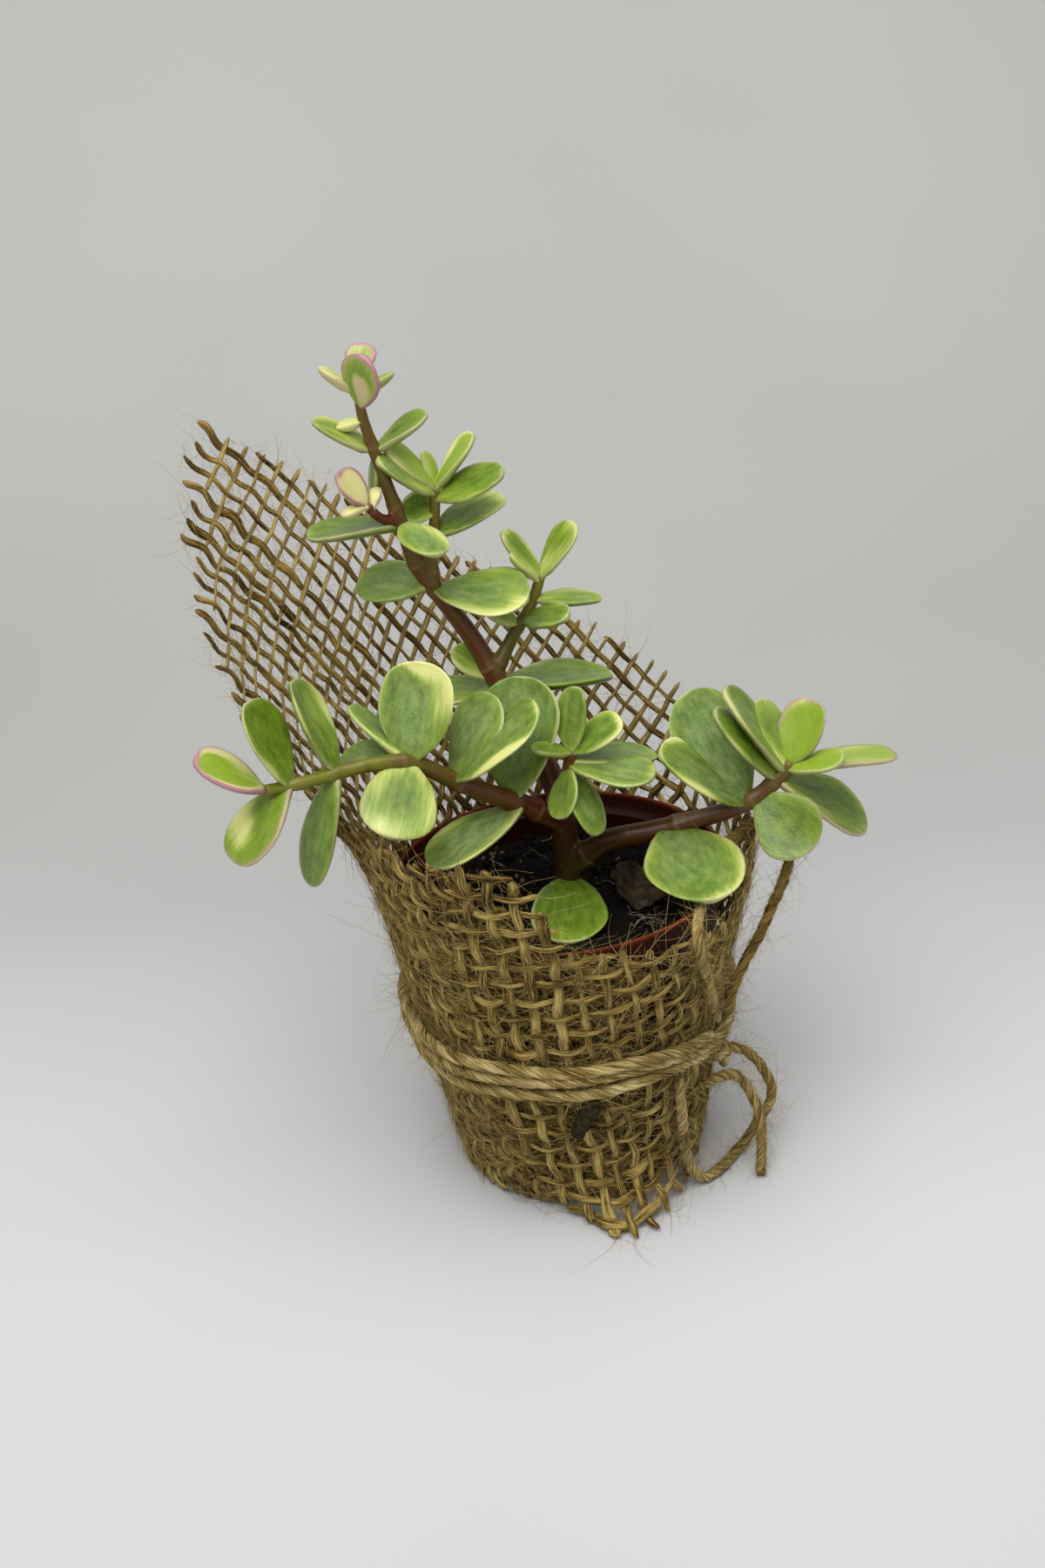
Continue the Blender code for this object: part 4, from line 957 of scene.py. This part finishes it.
def add_leaf(bundle, base, bearing, rise, roll, length, fullness, look, seed,
             thickness=2.0, cup=0.16):
    along = around(bearing, math.cos(math.radians(rise)), math.sin(math.radians(rise)))
    upper = unit(np.array((0, 0, 1.0)) - along * along[2])
    upper = upper * math.cos(math.radians(roll)) + np.cross(along, upper) * math.sin(math.radians(roll))
    side = np.cross(along, upper)
    t = STATIONS[:, None]
    shape = t ** 0.75 * (1 - t) ** 0.45 / (0.625 ** 0.75 * 0.375 ** 0.45)
    half = np.maximum(0.85 * (1 - t), length * fullness / 2 * shape)
    half = half * (1 + 0.035 * np.sin(8 * t + seed) * (t > 0.2))
    across = half * np.cos(SECTION) * (1 + 0.07 * np.sin(seed) * np.sign(np.cos(SECTION)))
    deep = np.minimum(thickness, 1.5 * half) * (1 - 0.45 * t ** 3)
    curve = np.where(np.sin(SECTION) > 0, 0.36, 0.64) * np.sin(SECTION)
    cup = cup * (1 + 0.7 * math.sin(1.3 * seed))
    droop = length * (0.05 + 0.025 * math.sin(2.1 * seed))
    lift = deep * curve + cup * across ** 2 / np.maximum(half, 0.3) - droop * t ** 2 - 0.25 * cup * half
    lift = lift + 0.09 * across * np.sin(3 * t + seed)
    ahead = length * t + 0 * across
    places = base + ahead[..., None] * along + across[..., None] * side + lift[..., None] * upper
    tip = base + length * along - droop * upper
    rim = np.minimum(half - np.abs(across), (1 - t) * length * 0.8)
    rim = np.maximum(rim, 0) + 0 * across
    blade = np.stack([ahead, across, rim], -1).reshape(-1, 3)
    sides = len(SECTION)
    rows = np.arange(len(STATIONS) - 1)[:, None] * sides
    here = rows + np.arange(sides)
    beside = rows + (np.arange(sides) + 1) % sides
    faces = np.stack([here, beside, beside + sides, here + sides], -1).reshape(-1, 4).tolist()
    last = rows[-1, 0] + sides
    faces += [[last + k, last + (k + 1) % sides, last + sides] for k in range(sides)]
    faces.append(list(range(sides))[::-1])
    count = last + sides + 1
    upper_half = np.append(np.tile(np.sin(SECTION) > 0, len(STATIONS)), 1)
    face = np.column_stack([upper_half, np.full(count, seed), np.zeros(count)])
    bundle.add(np.vstack([places.reshape(-1, 3), tip]), faces, blade=np.vstack([blade, (length, 0, 0)]),
               tint=np.tile(look, (count, 1)), face=face)


def point_on(route, share):
    lengths = run_lengths(route)
    return np.array([np.interp(share * lengths[-1], lengths, route[:, k]) for k in range(3)])


# %% Leaves on their stems
foliage = {}
seed = 0.0
for stem in STEMS.values():
    stem["line"] = smooth_route(stem["route"], 8)
    bundle = foliage.setdefault(stem["node"], Bundle())
    for share, bearing, rise, roll, length, fullness, *look in stem["leaves"]:
        seed += 7.3
        base = point_on(stem["line"], share)
        add_leaf(bundle, base, bearing, rise, roll, length, fullness, look, seed)
for node, bundle in foliage.items():
    bundle.piece(f"leaves_of_{node}", leaf, "plant_flesh", node)

# %% [markdown]
# The stems are fleshy too, jointed where each pair of leaves sits, purple-brown where they are old and
# olive where they are young. Side branches grow out of the trunk without a seam. So all of them are
# swept first, then one voxel remesh joins them into a single skin, and smoothing eases the joints.

# %% Stem skin
stem_skin, shader = new_material("succulent_stem", Roughness=0.34, Specular_IOR_Level=0.42,
                                 Subsurface_Weight=0.08, Subsurface_Scale=0.0012)
age = add_node(stem_skin, "Attribute", {"attribute_name": "age"}).outputs["Vector"]
years, ring, foot = add_node(stem_skin, "SeparateXYZ", {0: age}).outputs
place = add_node(stem_skin, "TexCoord", {}).outputs["Object"]
patch = add_node(stem_skin, "TexNoise", {"Scale": 260.0, "Detail": 4.0, "Roughness": 0.6,
                                         "Vector": place})
shift = add_node(stem_skin, "Math", {"operation": "MULTIPLY_ADD", 0: patch, 1: 0.9, 2: -0.45})
older = add_node(stem_skin, "Math", {"operation": "ADD", 0: years, 1: shift})
colour = add_node(stem_skin, "ValToRGB", {"Fac": older, "stops": (
    (0.0, "#6E7016"), (1.0, "#562012"), (0.3, "#5C4E0C"), (0.6, "#5E340E"))})
scar = add_node(stem_skin, "MapRange", {0: ring, 1: 0.5, 2: 0.12, 4: 0.5})
for amount, tone in ((foot, "#332A0C"), (scar, "#7E5C3C")):
    colour = add_node(stem_skin, "Mix", {"data_type": "RGBA", 0: amount, 6: colour, 7: tone}).outputs[2]
bump = add_node(stem_skin, "Bump", {"Strength": 0.4, "Distance": 0.0004, "Height": patch})
join(stem_skin, shader, Base_Color=colour, Normal=bump)

# %% Sweeping the stems
swept = Bundle()
line_points = []
line_ages = []
for name, stem in STEMS.items():
    line = even_route(stem["line"], 0.7)
    lengths = run_lengths(line)
    shares = lengths / lengths[-1]
    joints = sorted({round(share, 1) for share, *_ in stem["leaves"]} | {0.12})
    nearest = np.min([np.abs(lengths - share * lengths[-1]) for share in joints], axis=0)
    radius = stem["radii"][0] + (stem["radii"][1] - stem["radii"][0]) * shares
    radius = radius * (1 + 0.16 * np.exp(-(nearest / 1.1) ** 2))
    radius = radius * (1 + 0.22 * np.exp(-lengths / 2.5) * (name != "tall"))
    add_strand(swept, line, radius, radius, (0.6, -0.7, 0.2), sides=22, mark=0)
    line_points.append(line)
    years = stem["age"][0] + (stem["age"][1] - stem["age"][0]) * shares
    foot = np.clip((68 - line[:, 2]) / 14, 0, 0.8) * (name in ("tall", "right"))
    line_ages.append(np.column_stack([years, nearest, foot]))

# %% Joining the stems
stems = swept.piece("stems", stem_skin, "plant_flesh", *foliage)
blend = stems.modifiers.new("join", "REMESH")
blend.mode = "VOXEL"
blend.voxel_size = 0.34 * MM
ease = stems.modifiers.new("ease", "SMOOTH")
ease.factor = 0.5
ease.iterations = 4
apply_modifiers(stems)
places = np.empty(len(stems.data.vertices) * 3, np.float32)
stems.data.vertices.foreach_get("co", places)
places = places.reshape(-1, 3) / MM
line_points = np.vstack(line_points)
line_ages = np.vstack(line_ages)
kept = stems.data.attributes.new("age", "FLOAT_VECTOR", "POINT")
values = np.zeros((len(places), 3), np.float32)
AT_ONCE = 4000
for start in range(0, len(places), AT_ONCE):
    part = places[start:start + AT_ONCE]
    nearest = np.argmin(((part[:, None] - line_points[None]) ** 2).sum(-1), axis=1)
    values[start:start + AT_ONCE] = line_ages[nearest]
kept.data.foreach_set("vector", values.ravel())
stems.data.materials.clear()
stems.data.materials.append(stem_skin)
stems.data.shade_smooth()
print("stems have", len(stems.data.polygons), "faces")

# %% [markdown]
# Two small finds complete the pot: a dead leaf curled on the soil, and a bit of dry stem caught in the
# weave under the twine. Both are the same forms as the living ones, thinner and dull.

# %% Dry leaf and dry stem
withered = grainy("withered_leaf", "blade", {"Scale": 0.8, "Detail": 4.0},
                  ((0.35, "#1C150A"), (0.75, "#503F20")), (0.6, 0.0005),
                  Roughness=0.7, Specular_IOR_Level=0.25)
dead = Bundle()
add_leaf(dead, np.array((14.4, 6.6, 50.4)), bearing=354, rise=-2, roll=-16, length=13.8,
         fullness=0.68, look=(0, 0, 0), seed=2.0, thickness=0.5, cup=0.55)
creases = np.array([noise.noise_vector(Vector(place / 2.2)) for place in dead.places[0]])
dead.places[0] = dead.places[0] + 1.1 * creases
dead.piece("dry_leaf", withered, "peat_soil")
twig = Bundle()
line = smooth_route(((-1.5, -28.5, 20.2), (-0.6, -29.2, 22.4), (0.5, -29.7, 25.0), (1.7, -30.2, 27.5)), 4)
thin = np.linspace(1.15, 1.75, len(line)) * (1 + 0.1 * np.sin(np.arange(len(line)) * 1.9))
add_strand(twig, line, thin, thin * 0.8, (0.0, -1.0, 0.3), sides=10, mark=4.0)
dry_stem = grainy("dry_stem", "lay", {"Scale": 1.4, "Detail": 4.0},
                  ((0.35, "#0E0C06"), (0.75, "#3E3A1C")), Roughness=0.85, Specular_IOR_Level=0.15)
twig.piece("dry_stem", dry_stem, "peat_soil")

# %% [markdown]
# The plant stands on a pale matt board that curves up behind it. Two large soft lamps, one high in
# front and one straight above, and a pale sky all round give weak, wide shadows, as on a dull day.

# %% Board with painted light and shade
board, shader = new_material("board_with_painted_shading", Roughness=0.75, Specular_IOR_Level=0.2)
place = add_node(board, "TexCoord", {}).outputs["Object"]
cloudy = add_node(board, "TexNoise", {"Scale": 6.0, "Detail": 2.0, "Vector": place})
worn = add_node(board, "ValToRGB", {"stops": ((0.3, "#F6F6F6"), (0.7, "#FFFFFF")), "Fac": cloudy})
depth = add_node(board, "SeparateXYZ", {0: place}).outputs[1]
back = add_node(board, "MapRange", {0: depth, 1: -0.15, 2: 0.45})
# The board's grey is painted light and shade: lighter just round the pot, and darker at the front edge,
# behind the pot and up the bend.
light_and_shade_ramp = add_node(board, "ValToRGB", {"Fac": back, "stops": (
    (0.0, "#BCBCBD"), (1.0, "#BABAB7"), (0.20, "#C9C9CA"), (0.28, "#C5C5C6"), (0.42, "#B0B0AF"),
    (0.62, "#AFAFAD"))})
colour = add_node(board, "Mix", {"data_type": "RGBA", "blend_type": "MULTIPLY", 0: 1.0, 6: light_and_shade_ramp,
                                 7: worn}).outputs[2]
join(board, shader, Base_Color=colour)

# %% Backdrop and sky
BOARD_SIDES = (-1100, 1100)
profile = [(-900, 0), (150, 0)]
profile += [(150 + 300 * math.sin(a), 300 - 300 * math.cos(a)) for a in np.radians(np.arange(6, 91, 6))]
profile += [(450, 1200)]
mesh = bpy.data.meshes.new("backdrop")
mesh.from_pydata([(x * MM, y * MM, z * MM) for y, z in profile for x in BOARD_SIDES], [],
                 [(2 * i, 2 * i + 1, 2 * i + 3, 2 * i + 2) for i in range(len(profile) - 1)])
mesh.shade_smooth()
mesh.materials.append(board)
backdrop = bpy.data.objects.new("backdrop", mesh)
bpy.context.collection.objects.link(backdrop)
sky = bpy.data.worlds.new("sky")
sky.use_nodes = True
sky.node_tree.nodes["Background"].inputs["Color"].default_value = linear("#F2F2F0")
sky.node_tree.nodes["Background"].inputs["Strength"].default_value = 0.57
bpy.context.scene.world = sky

# %% Two soft lamps
for name, spot, size, power in (("window", (-120, -310, 620), 480, 2.6),
                                ("ceiling", (40, -50, 660), 700, 2.7)):
    lamp = bpy.data.lights.new(name, "AREA")
    lamp.size = size * MM
    lamp.energy = power
    light = bpy.data.objects.new(name, lamp)
    light.location = Vector(spot) * MM
    light.rotation_euler = (Vector((0, 0, 60)) * MM - light.location).to_track_quat("-Z", "Y").to_euler()
    bpy.context.collection.objects.link(light)
